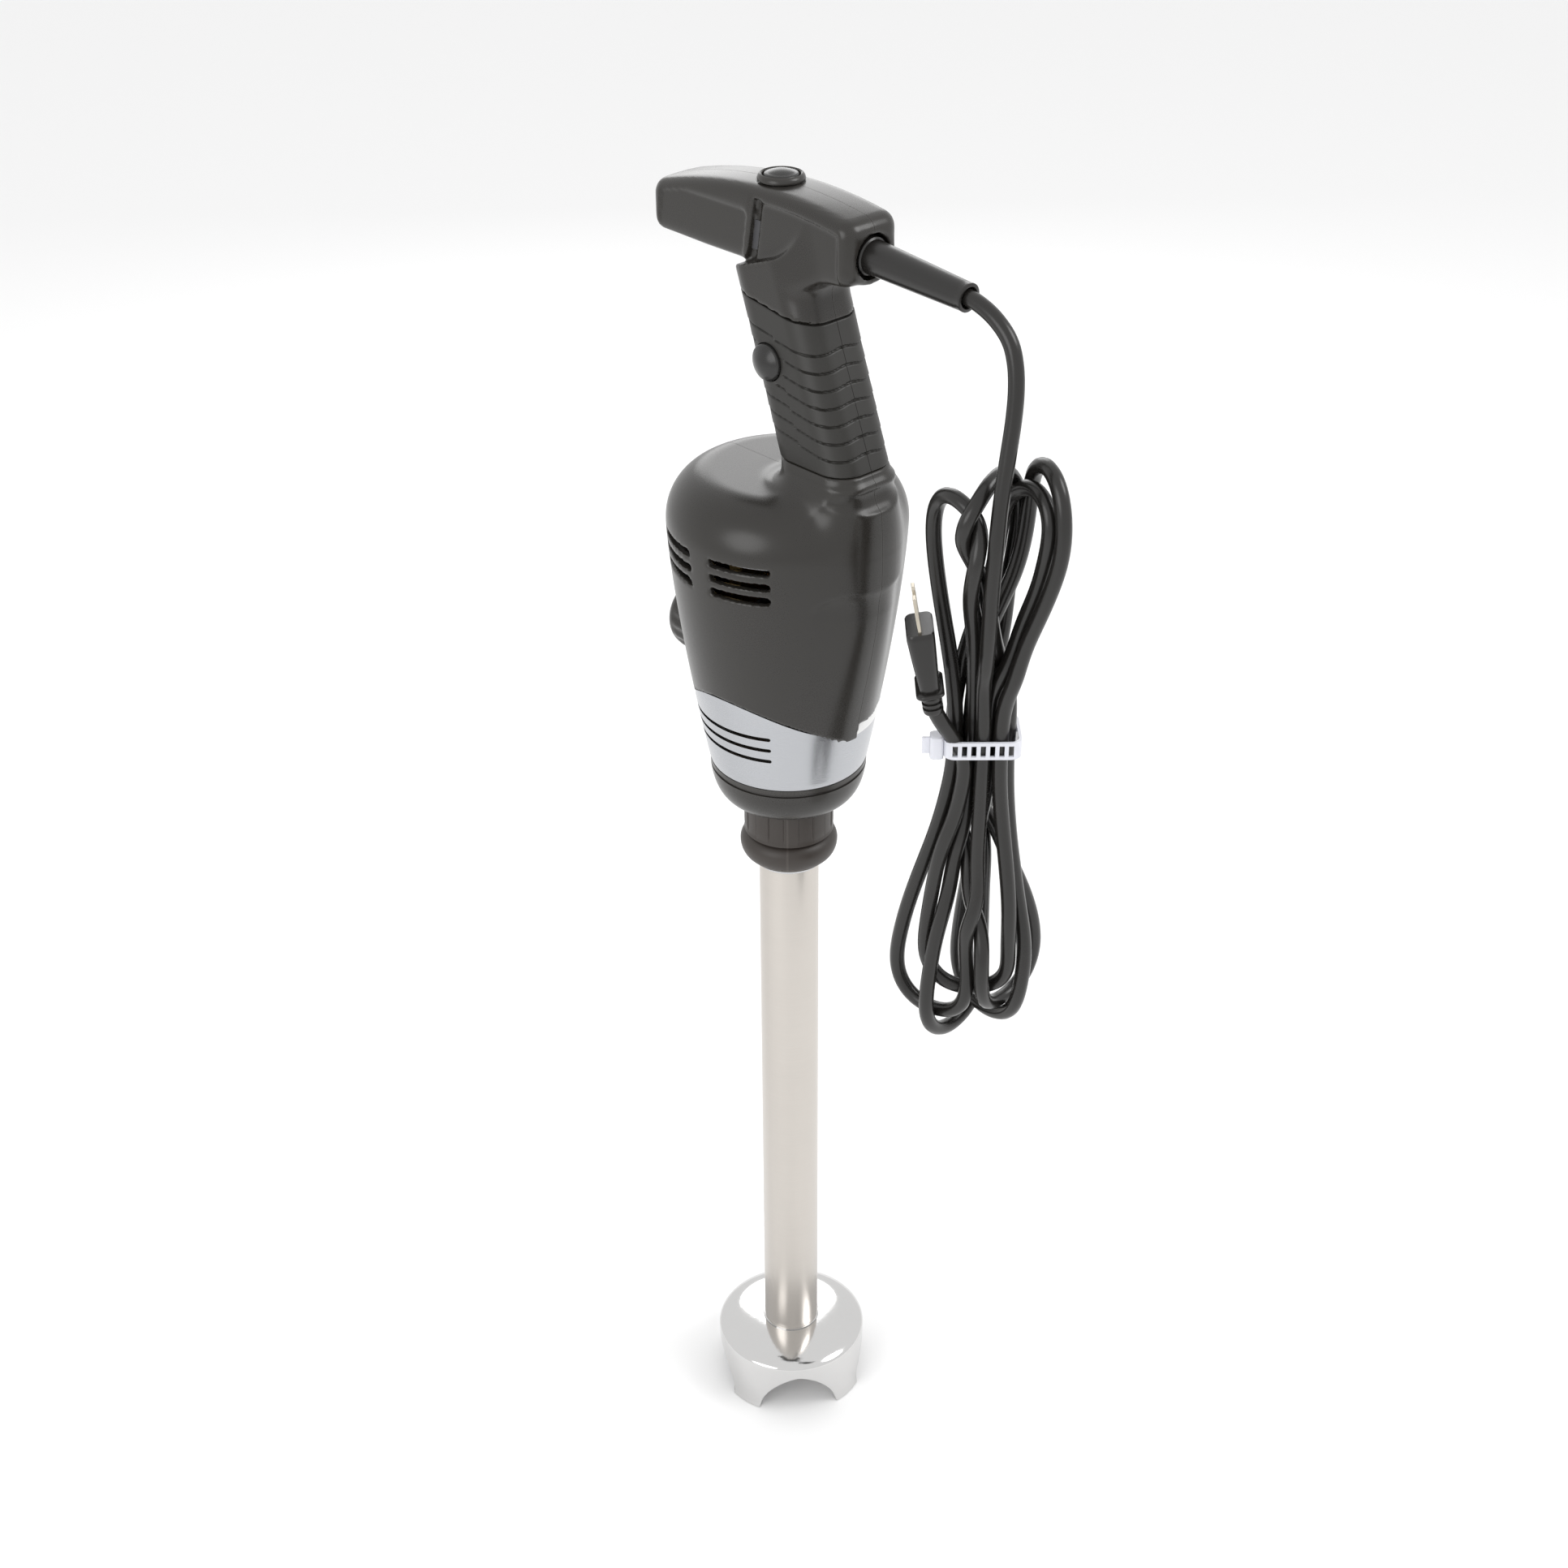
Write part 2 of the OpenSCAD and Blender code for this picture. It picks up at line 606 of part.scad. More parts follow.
// The hank hangs in a plane that stands obliquely behind the housing
hank_y = 134;
hank_turn = -43;
hank_t = 26;
tie_z = 507;
tie_t = 1.7;
tie_w = 10;
module in_hank() { translate([0, hank_y, 0]) rotate([0, 0, hank_turn]) rotate([90, 0, 180]) children(); }
waist_w = 34;
waist_h = 12;
hank_folds = [[[-11, 365, 23], [7, 368, 23]], [[-9, 620, 18], [9, 628, 18]]];
module hank_outline() {
  translate([0, tie_z]) square([waist_w, waist_h], center = true);
  for (end = [0, 1]) hull() {
    for (f = hank_folds[end]) translate([f[0], f[1]]) circle(r = f[2], $fn = 32);
    translate([0, tie_z + (end - 0.5) * (waist_h + eps)]) square([waist_w, eps], center = true);
  }
}
module cord_hank() {
  color([0.12, 0.12, 0.12]) in_hank() translate([0, 0, -hank_t / 2]) linear_extrude(hank_t) hank_outline();
}
module cord_tie() {
  color([0.9, 0.9, 0.93]) in_hank() {
    difference() {
      translate([0, tie_z, 0]) cube([waist_w + 2 * tie_t, tie_w, hank_t + 2 * tie_t], center = true);
      translate([0, tie_z, 0]) cube([waist_w, 2 * tie_w, hank_t], center = true);
    }
    translate([-waist_w / 2 - tie_t - 3.5, tie_z, hank_t / 2 - 5]) cube([7, tie_w + 3, 8], center = true);
  }
}
module on_plug() {
  in_hank() translate([-26, 541, hank_t / 2 + 1]) rotate([0, 0, 10]) rotate([-90, 0, 0]) children();
}
blade_gap = 6.35;
module on_blades() { for (y = [-blade_gap, blade_gap]) translate([-0.8, y - 3.2, 22]) children(); }
module plug_body() {
  color([0.14, 0.14, 0.14]) on_plug() {
    difference() {
      union() {
        translate([0, 0, 2]) linear_extrude(32) round_box(13, 24, 3);
        linear_extrude(2.5) round_box(17, 27, 4);
        translate([0, 0, -12]) cylinder(r1 = 4.2, r2 = 5.5, h = 12.5);
      }
      on_blades() cube([1.6, 6.4, 20]);
    }
  }
}
module plug_blades() {
  color([0.75, 0.72, 0.65]) on_plug() difference() {
    on_blades() cube([1.6, 6.4, 29]);
    for (y = [-blade_gap, blade_gap]) translate([-5, y, 46.5]) rotate([0, 90, 0]) cylinder(r = 1.5, h = 10);
  }
}

module shaft_tube() {
  color([0.78, 0.75, 0.7]) translate([0, 0, bell_h]) ring(tube_r, bore_r, tube_len);
}
bush_r = 7;
module wand_hub() {
  color([0.75, 0.75, 0.76]) difference() {
    union() {
      translate([0, 0, tube_top - 14]) cylinder(r = bore_r, h = 14);
      translate([0, 0, tube_top]) cylinder(r = disc_r, h = disc_t);
      translate([0, 0, disc_top]) cylinder(r = pilot_r, h = pilot_h);
    }
    translate([0, 0, disc_top]) cylinder(r = dog_r + 2.5, h = 20);
    translate([0, 0, tube_top - 20]) cylinder(r = bush_r, h = 40);
  }
}
module hub_gasket() {
  color([0.2, 0.2, 0.2]) translate([0, 0, disc_top]) ring(disc_r, pilot_r, gasket_t);
}
module coupling_collar() {
  lip_z = collar_z + 9.5;
  body_z = collar_z + 17.5;
  color([0.17, 0.16, 0.15]) difference() {
    union() {
      rotate_extrude() polygon(concat([[tube_r + gap, collar_z], [tube_r + 6, collar_z]],
        [for (a = [-70:20:90]) [lip_d / 2 - 6 + 6 * cos(a), lip_z + (a < 0 ? 9 : 6) * sin(a)]],
        [[collar_d / 2, body_z], [collar_d / 2, collar_top], [tube_r + gap, collar_top]]));
      for (i = [0:rib_count - 1]) rotate([0, 0, i * 360 / rib_count])
        translate([collar_d / 2 - 1, -1, body_z - 1]) cube([1.7, 2, collar_top - body_z]);
    }
    translate([0, 0, collar_z - 1]) cylinder(r = tube_r + gap, h = 100);
    translate([0, 0, tube_top - gap]) cylinder(r = disc_r + 0.6 + gap, h = 60);
  }
}
module retaining_ring() {
  color([0.3, 0.3, 0.3]) translate([0, 0, collar_z - 3 - gap]) ring(tube_r + 1.8, tube_r, 3);
}
module drive_shaft() {
  color([0.7, 0.7, 0.72]) translate([0, 0, 4]) cylinder(d = drive_d, h = disc_top + 6);
}
shaft_dog_z = disc_top + 2.5;
module shaft_dog() {
  color([0.6, 0.6, 0.62]) difference() {
    translate([0, 0, shaft_dog_z]) cylinder(r = hex_r, h = 16, $fn = 6);
    translate([0, 0, shaft_dog_z - 1]) cylinder(d = drive_d, h = disc_top + 10 - shaft_dog_z + 1);
  }
}
module upper_bush() {
  color([0.75, 0.55, 0.3]) translate([0, 0, tube_top - 14]) ring(bush_r, drive_d / 2 + fit, 14 + disc_t);
}
boss_low = 26;
module lower_hub() {
  color([0.75, 0.75, 0.76]) difference() {
    union() {
      translate([0, 0, bell_h]) cylinder(r = bore_r, h = 16);
      translate([0, 0, boss_low]) cylinder(r = 12, h = bell_h - boss_low);
    }
    translate([0, 0, boss_low - 1]) cylinder(r = bush_r, h = 60);
    translate([0, 0, boss_low - 1]) cylinder(r = 9, h = 8);
  }
}
module lower_bush() {
  color([0.75, 0.55, 0.3]) translate([0, 0, boss_low + 8]) ring(bush_r, drive_d / 2 + fit, 20);
}
module shaft_seal() {
  color([0.5, 0.15, 0.1]) translate([0, 0, boss_low + 1]) ring(9, drive_d / 2 + fit, 6);
}
bell_r = bell_d / 2;
neck_r = tube_r + 1.5;
module bell_guard() {
  dome_h = bell_h - skirt_h;
  function dome_line(inset) = [for (a = [0:10:90])
    [neck_r + (bell_r - neck_r - inset) * sin(a), skirt_h - inset + dome_h * pow(cos(a), 1.2)]];
  color([0.85, 0.85, 0.86]) difference() {
    rotate_extrude() polygon(concat([[12, bell_h]], dome_line(0),
      [[bell_r, 5], [bell_r + 1.2, 1.2], [bell_r + 1.2, 0], [bell_r - bell_wall, 0]],
      [for (p = [9:-1:0]) dome_line(bell_wall)[p]], [[12, bell_h - bell_wall]]));
    for (i = [0:foot_count - 1]) rotate([0, 0, 53 + i * 360 / foot_count]) translate([bell_r - 14, 0, 0])
      rotate([90, 0, 90]) linear_extrude(30) arch();
  }
}
module arch() {
  w = (bell_r + 1) * sin(arch_angle / 2);
  side = [for (i = [0:10]) let (u = i / 10) [w * pow(1 - pow(u, 1.7), 0.6), arch_h * u]];
  polygon(concat([[-w, -1], [w, -1]], side, [for (i = [9:-1:0]) [-side[i][0], side[i][1]]]));
}
module blade() {
  color([0.8, 0.8, 0.82]) difference() {
    union() {
      translate([0, 0, blade_z - 2]) cylinder(r = 8, h = 6);
      for (a = [0, 180]) rotate([0, 0, a]) translate([5, 0, blade_z + 1]) rotate([14, -6, 0])
        translate([0, -6, -1]) cube([blade_len / 2 - 5, 12, 2]);
    }
    translate([0, 0, blade_z - 5]) cylinder(d = drive_d, h = 20);
  }
}
module blade_nut() {
  color([0.7, 0.7, 0.72]) difference() {
    union() {
      translate([0, 0, blade_z - 6]) cylinder(r = 7, h = 4, $fn = 6);
      translate([0, 0, blade_z - 6]) mirror([0, 0, 1]) dome(11, 3);
    }
    translate([0, 0, 4]) cylinder(d = drive_d, h = 20);
  }
}

shell_left();
shell_right();
grip_sleeve_left();
grip_sleeve_right();
steel_band();
bottom_cap();
drive_spigot();
rating_plate();
button_bezel();
top_button();
top_button_spring();
power_switch();
side_button();
side_button_spring();
lock_switch();
speed_knob();
speed_dial_shaft();
potentiometer();
control_board();
upper_bracket();
lower_bracket();
stator();
field_coils();
motor_shaft();
armature();
commutator();
cooling_fan();
upper_bearing();
lower_bearing();
brush_holders();
carbon_brushes();
motor_dog();
shell_screws();
cord_clamp();
strain_relief();
cord_lead();
cord_hank();
cord_tie();
plug_body();
plug_blades();
shaft_tube();
wand_hub();
hub_gasket();
coupling_collar();
retaining_ring();
drive_shaft();
shaft_dog();
upper_bush();
lower_hub();
lower_bush();
shaft_seal();
bell_guard();
blade();
blade_nut();
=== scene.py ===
import math

import bmesh
import bpy
import numpy as np
from mathutils import Matrix, Vector


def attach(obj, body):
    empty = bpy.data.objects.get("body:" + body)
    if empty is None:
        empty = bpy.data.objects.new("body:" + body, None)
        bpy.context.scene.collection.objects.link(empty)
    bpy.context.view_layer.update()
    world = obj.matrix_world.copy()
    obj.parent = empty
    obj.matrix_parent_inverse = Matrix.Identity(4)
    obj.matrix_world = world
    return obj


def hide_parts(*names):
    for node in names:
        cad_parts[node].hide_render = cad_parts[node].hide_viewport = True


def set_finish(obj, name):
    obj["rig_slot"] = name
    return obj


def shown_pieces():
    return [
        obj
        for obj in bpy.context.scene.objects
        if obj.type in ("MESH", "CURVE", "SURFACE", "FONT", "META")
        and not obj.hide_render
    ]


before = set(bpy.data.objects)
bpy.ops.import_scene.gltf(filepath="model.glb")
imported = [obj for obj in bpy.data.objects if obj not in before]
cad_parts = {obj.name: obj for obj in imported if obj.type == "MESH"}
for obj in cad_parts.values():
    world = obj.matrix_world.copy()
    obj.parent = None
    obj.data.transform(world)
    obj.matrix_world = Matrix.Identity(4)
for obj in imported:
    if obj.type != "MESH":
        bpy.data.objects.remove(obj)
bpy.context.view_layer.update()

MM = 0.001


# ---------------------------------------------------------------- camera
def add_camera():
    """Camera at the photograph's angle, from behind and above on the side-button side."""
    right = Vector((-0.72967, 0.68379, -0.00402))
    up = Vector((-0.35979, -0.37891, 0.85263))
    back = Vector((0.58150, 0.62358, 0.52250))
    data = bpy.data.cameras.new("camera")
    data.lens, data.sensor_width, data.shift_x = 53.2, 36.0, -0.003
    data.clip_start, data.clip_end = 0.05, 20.0
    camera = bpy.data.objects.new("camera", data)
    turn = Matrix((right, up, back)).transposed().to_4x4()
    camera.matrix_world = Matrix.Translation((0.71408, 0.76576, 1.06263)) @ turn
    bpy.context.collection.objects.link(camera)
    bpy.context.scene.camera = camera


add_camera()


# ---------------------------------------------------------------- mesh helpers
def new_mesh(name, verts, faces, smooth=True, crease=40):
    """A mesh object from points in millimetres, with sharp edges above a crease angle in degrees."""
    mesh = bpy.data.meshes.new(name)
    mesh.from_pydata([tuple(v) for v in np.asarray(verts, float) * MM], [], [tuple(f) for f in faces])
    mesh.validate()
    obj = bpy.data.objects.new(name, mesh)
    bpy.context.collection.objects.link(obj)
    bm = bmesh.new()
    bm.from_mesh(mesh)
    bmesh.ops.remove_doubles(bm, verts=bm.verts, dist=1e-6)
    bmesh.ops.recalc_face_normals(bm, faces=bm.faces)
    bm.to_mesh(mesh)
    bm.free()
    if smooth:
        shade(obj, crease)
    return obj


def shade(obj, angle):
    """Smooth shading with sharp edges above an angle in degrees."""
    mesh = obj.data
    mesh.polygons.foreach_set("use_smooth", [True] * len(mesh.polygons))
    mesh.set_sharp_from_angle(angle=math.radians(angle))


def grid_faces(rows, cols):
    """Quads between rings of points, each ring closed on itself."""
    faces = []
    for i in range(rows - 1):
        for j in range(cols):
            k = (j + 1) % cols
            a, b = i * cols, (i + 1) * cols
            faces.append((a + j, a + k, b + k, b + j))
    return faces


BOX_FACES = [(0, 1, 3, 2), (4, 6, 7, 5), (0, 4, 5, 1), (2, 3, 7, 6), (0, 2, 6, 4), (1, 5, 7, 3)]


def prism_faces(n):
    """Faces of a solid between two outlines of n points."""
    sides = [(j, (j + 1) % n, n + (j + 1) % n, n + j) for j in range(n)]
    return [tuple(range(n)), tuple(range(2 * n - 1, n - 1, -1)), *sides]


def corner_arcs(w, l, r, count):
    """Points (x, y) round a rectangle with rounded corners."""
    points = []
    for sx, sy, a0 in ((1, 1, 0), (-1, 1, 90), (-1, -1, 180), (1, -1, 270)):
        for a in np.linspace(a0, a0 + 90, count, endpoint=False):
            t = math.radians(a)
            points.append((sx * (w / 2 - r) + r * math.cos(t), sy * (l / 2 - r) + r * math.sin(t)))
    return points


def halve(mesh, side, gap):
    """Keeps one side of a mesh, cut a gap in metres from the middle plane, and closes the cut."""
    bm = bmesh.new()
    bm.from_mesh(mesh)
    cut = bmesh.ops.bisect_plane(bm, geom=bm.verts[:] + bm.edges[:] + bm.faces[:], plane_co=(side * gap, 0, 0),
                                 plane_no=(side, 0, 0), clear_inner=True, dist=1e-6)
    rim = [e for e in cut["geom_cut"] if isinstance(e, bmesh.types.BMEdge) and e.is_valid]
    bmesh.ops.triangle_fill(bm, edges=rim, use_beauty=True, use_dissolve=False)
    bmesh.ops.recalc_face_normals(bm, faces=bm.faces)
    bm.to_mesh(mesh)
    bm.free()


def lathe(name, profile, sides=96, radius=None, place=None):
    """Turns a closed profile of (r, z) about Z. radius(r, z, angle) may change each point's radius."""
    angle = np.linspace(0, 2 * np.pi, sides, endpoint=False)
    rows = []
    for r, z in profile:
        rr = np.full(sides, float(r)) if radius is None else radius(np.full(sides, float(r)), float(z), angle)
        rows.append(np.stack([rr * np.cos(angle), rr * np.sin(angle), np.full(sides, float(z))], 1))
    rows.append(rows[0])
    verts = np.concatenate(rows)
    if place is not None:
        verts = place(verts)
    return new_mesh(name, verts, grid_faces(len(rows), sides))


def rounded(profile, radius, steps):
    """A closed profile with its corners rounded."""
    out, n = [], len(profile)
    for i in range(n):
        p, a, b = (np.array(profile[k % n], float) for k in (i, i - 1, i + 1))
        u, v = a - p, b - p
        lu, lv = np.linalg.norm(u), np.linalg.norm(v)
        if lu < 1e-6 or lv < 1e-6:
            continue
        r = min(radius, 0.45 * lu, 0.45 * lv)
        s, e = p + u / lu * r, p + v / lv * r
        for t in np.linspace(0, 1, steps + 1):
            out.append((1 - t) ** 2 * s + 2 * t * (1 - t) * p + t * t * e)
    return out


def along(origin, axis):
    """Places a mesh made about Z so that Z runs along an axis from an origin, in millimetres."""
    m = np.array(Vector(axis).to_track_quat("Z", "Y").to_matrix())
    return lambda v: v @ m.T + np.array(origin, float)


def spline(points, per=12):
    """A smooth line through points."""
    p = np.array(points, float)
    n = len(p) - 1
    out = []
    for i in range(n):
        a, b, c, d = p[max(i - 1, 0)], p[i], p[i + 1], p[min(i + 2, n)]
        for t in np.arange(per) / per:
            bend, twist = 2 * a - 5 * b + 4 * c - d, 3 * b - a - 3 * c + d
            out.append(0.5 * (2 * b + (c - a) * t + bend * t**2 + twist * t**3))
    out.append(p[-1])
    return np.array(out)


def even(line, step):
    """The same line with its points a step apart."""
    run = np.concatenate([[0], np.cumsum(np.linalg.norm(np.diff(line, axis=0), axis=1))])
    count = max(2, int(round(run[-1] / step)) + 1)
    at = np.linspace(0, run[-1], count)
    return np.stack([np.interp(at, run, line[:, k]) for k in range(3)], 1)


# ---------------------------------------------------------------- the cord
CORD_D = 7.6
RELIEF_L = 58.0
EXIT = np.array([0.0, 58.0, 722.5])
EXIT_DIR = np.array([0.0, math.cos(math.radians(4)), -math.sin(math.radians(4))])
MOUTH = 8.0
HANK_Y, TIE_Z = 134.0, 507.0
HANK_U = np.array([-math.cos(math.radians(43)), math.sin(math.radians(43)), 0.0])
HANK_V = np.array([math.sin(math.radians(43)), math.cos(math.radians(43)), 0.0])


def in_hank(u, h, v):
    """A point of the hank: u across, h up and v towards the viewer."""
    return np.array([0, HANK_Y, 0]) + u * HANK_U + v * HANK_V + np.array([0, 0, h])


relief_end = EXIT + (RELIEF_L - MOUTH) * EXIT_DIR
LEAD = [relief_end, relief_end + 10 * EXIT_DIR, (0, 130, 714), (0, 140, 706), (0.5, 144.5, 696), (1.5, 146.5, 684),
        (3, 147, 671), (5, 147, 658), (7, 147, 645), (9, 147, 630), (11, 147.5, 612), (12, 147, 590),
        (12, 146.5, 570), (10, 144, 552), (7, 140.5, 538)]
# Slots of the strands in the tie (u, v), in the order in which the cord passes them
WAIST = [(0.2, 8.9), (-12.6, 0.2), (-4.2, 0.2), (3.8, -8.6), (12.6, 0.6), (4.2, 0.4), (-12.6, -8.4), (-4.4, -8.6),
         (8.6, 8.8), (-8.4, 8.9)]
# Folds of the cord: middle (u, v), height of the far end, turn of the fold's plane in degrees and radius
FOLDS = [(-19, 5, 347, 32, 21), (-16, -1, 634, 62, 18), (-8, -3, 331, -48, 22), (2, -2, 645, -55, 19),
         (9, -3, 341, 50, 22), (18, 0, 638, 62, 18), (17, 3, 352, -45, 22), (24, 3, 650, 70, 17),
         (-2, 9, 362, 12, 22)]


def cord_line():
    """The cord from the strain relief through its lead, folds and tie to the plug."""
    points = [np.array(p, float) for p in LEAD]
    slot = np.array(WAIST[0])
    points.append(in_hank(slot[0], TIE_Z + 8, slot[1]))
    for k, (u, v, far, turn, radius) in enumerate(FOLDS):
        sign = -1 if k % 2 == 0 else 1
        e = np.array([math.cos(math.radians(turn)), math.sin(math.radians(turn))])
        a, b = np.array(WAIST[k]), np.array(WAIST[k + 1])
        if (b - a) @ e < 0:
            e = -e
        mid = far - sign * (radius + CORD_D / 2)
        near_z = TIE_Z + 8 * sign
        sides = [np.array([u, v]) - e * radius, np.array([u, v]) + e * radius]
        for t in np.linspace(0, 1, 9)[:-1]:
            w = a + (sides[0] - a) * t * t * (3 - 2 * t)
            points.append(in_hank(w[0], near_z + (mid - near_z) * t, w[1]))
        for t in np.linspace(0, math.pi, 7):
            w = np.array([u, v]) - e * radius * math.cos(t)
            points.append(in_hank(w[0], mid + sign * radius * math.sin(t), w[1]))
        for t in np.linspace(0, 1, 9)[1:]:
            w = sides[1] + (b - sides[1]) * t * t * (3 - 2 * t)
            points.append(in_hank(w[0], mid + (near_z - mid) * t, w[1]))
    points += [in_hank(-11.6, TIE_Z, 9.4), in_hank(-15.8, TIE_Z + 8, 10.8), in_hank(-20.2, 522.5, 12.8),
               in_hank(-23.9, 530.5, 14.0)]
    return points


def settle(line, d, rounds):
    """Pushes the strands apart until none lies in another, and evens out their bends.

    The tie and both ends hold still."""
    x = line.copy()
    held = (np.abs(x[:, 2] - TIE_Z) < 9) & (np.abs(x[:, 1] - HANK_Y) < 40)
    start = int(np.argmax(held)) - 4
    held[:start] = True
    held[-5:] = True
    step = np.linalg.norm(np.diff(x, axis=0), axis=1)
    free = (~held).astype(float)[:, None]
    n = len(x)
    near = np.abs(np.arange(n)[:, None] - np.arange(n)[None]) < 6
    for _ in range(rounds):
        smooth = x.copy()
        smooth[2:-2] += 0.35 * (-x[:-4] + 4 * x[1:-3] - 6 * x[2:-2] + 4 * x[3:-1] - x[4:]) / 6
        x = x + free * (smooth - x)
        for _ in range(2):
            gap = x[:, None] - x[None]
            dist = np.sqrt((gap**2).sum(2)) + 1e-9
            push = np.where((dist < d) & ~near, (d - dist) / dist, 0.0)[..., None] * gap
            x = x + free * 0.4 * push.sum(1)
        for _ in range(4):
            seg = np.diff(x, axis=0)
            length = np.linalg.norm(seg, axis=1)
            fix = ((length - step) / length)[:, None] * seg * 0.5
            w = free[:-1] + free[1:]
            move = np.zeros_like(x)
            move[:-1] += fix * np.where(w > 0, 2 * free[:-1] / np.maximum(w, 1), 0)
            move[1:] -= fix * np.where(w > 0, 2 * free[1:] / np.maximum(w, 1), 0)
            x = x + 0.5 * move
    return x


route = settle(even(spline(cord_line(), 10), 4.0), CORD_D + 0.25, 90)


def add_cord():
    """One curve for the lead and the hank. Its points' radius is the cord's, times a bevel of one metre."""
    data = bpy.data.curves.new("mains_cord", "CURVE")
    data.dimensions, data.bevel_depth, data.bevel_resolution = "3D", 1.0, 4
    data.use_fill_caps = True
    line = data.splines.new("NURBS")
    line.points.add(len(route) - 1)
    for point, at in zip(line.points, route * MM):
        point.co, point.radius = (*at, 1), CORD_D / 2 * MM
    line.order_u, line.use_endpoint_u, line.resolution_u = 4, True, 2
    obj = bpy.data.objects.new("mains_cord", data)
    bpy.context.collection.objects.link(obj)
    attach(obj, "housing")
    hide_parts("cord_lead", "cord_hank")
    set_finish(obj, "cord_rubber")
    return obj


mains_cord = add_cord()


# ---------------------------------------------------------------- the black housing, grip and head
BASE_Z, SIDE_H, BASE_R, MAX_R = 441.5, 136.0, 41.0, 60.2
SIDE_TOP, SHOULDER_R, SHOULDER_H = 577.5, 24.0, 26.0
GRIP_W, GRIP_L, GRIP_Y, GRIP_Z, LEAN = 40.0, 47.0, 28.5, 631.5, math.radians(19.5)
SLEEVE_T, SLEEVE_LOW, SLEEVE_Y, SLEEVE_Z, SLEEVE_TILT = 2.5, 618.5, 35.0, 686.5, math.radians(9)
HEAD_W, HEAD_FRONT, HEAD_REAR, HEAD_LOW, HEAD_TOP = 34.0, -78.0, 58.0, 707.5, 744.5
KNOB_Z, BOSS_R = 498.5, 22.0
TOP_BUTTON_Y, SIDE_BUTTON_Y, SIDE_BUTTON_Z = -3.0, 8.0, 664.5
SCREW_Z, WALL = 717.5, 3.0
# Steel band: height of its upper edge, its rear crest's centre and radius, and its slots on the right side
BAND_TOP, BAND_Y, BAND_R = 466.5, 5.0, 52.0
BAND_SLOT, BAND_SLOT_Z, BAND_SLOT_PITCH = (-34, 36), 461.0, 7.0
VENT_Z, VENT_PITCH = 558.0, 7.8
PLATE_Z, PLATE_HALF = 473.5, 4.7
CELL = 1.15


def side_r(h):
    """Radius of the housing at a height above its lower end."""
    return BASE_R + (MAX_R - BASE_R) * (1 - np.clip(1 - h / SIDE_H, 0, 1) ** 1.4)


def blend_min(a, b, k):
    """Joins two distance fields with a fillet of about radius k."""
    h = np.clip(0.5 + 0.5 * (b - a) / k, 0, 1)
    return b + (a - b) * h - k * h * (1 - h)


def blend_max(a, b, k):
    """The part that two distance fields share, with a rounded edge."""
    return -blend_min(-a, -b, k)


def box_field(px, py, hx, hy, r):
    """Distance to a rectangle of half sizes hx and hy with corner radius r."""
    qx, qy = np.abs(px) - hx + r, np.abs(py) - hy + r
    return np.hypot(np.maximum(qx, 0), np.maximum(qy, 0)) + np.minimum(np.maximum(qx, qy), 0) - r


def grip_coords(y, z):
    """Across and along the leaning grip."""
    dy, dz = y - GRIP_Y, z - GRIP_Z
    return dy * math.cos(LEAN) + dz * math.sin(LEAN), -dy * math.sin(LEAN) + dz * math.cos(LEAN)


def crown(y):
    """Height of the head's crowned top."""
    return HEAD_TOP - 9 * ((y - 5) / 70) ** 2


def slot_field(x, y, z, a0, a1, z0, half):
    """A round-ended slot around the housing, between two angles in degrees, at one height, on both sides."""
    r = np.hypot(x, y)
    angle = np.degrees(np.arctan2(y, np.abs(x)))
    arc = np.radians(angle - (a0 + a1) / 2) * np.maximum(r, 20)
    reach = math.radians((a1 - a0) / 2) * np.maximum(r, 20)
    return box_field(arc, z - z0, reach, half, half * 0.98)


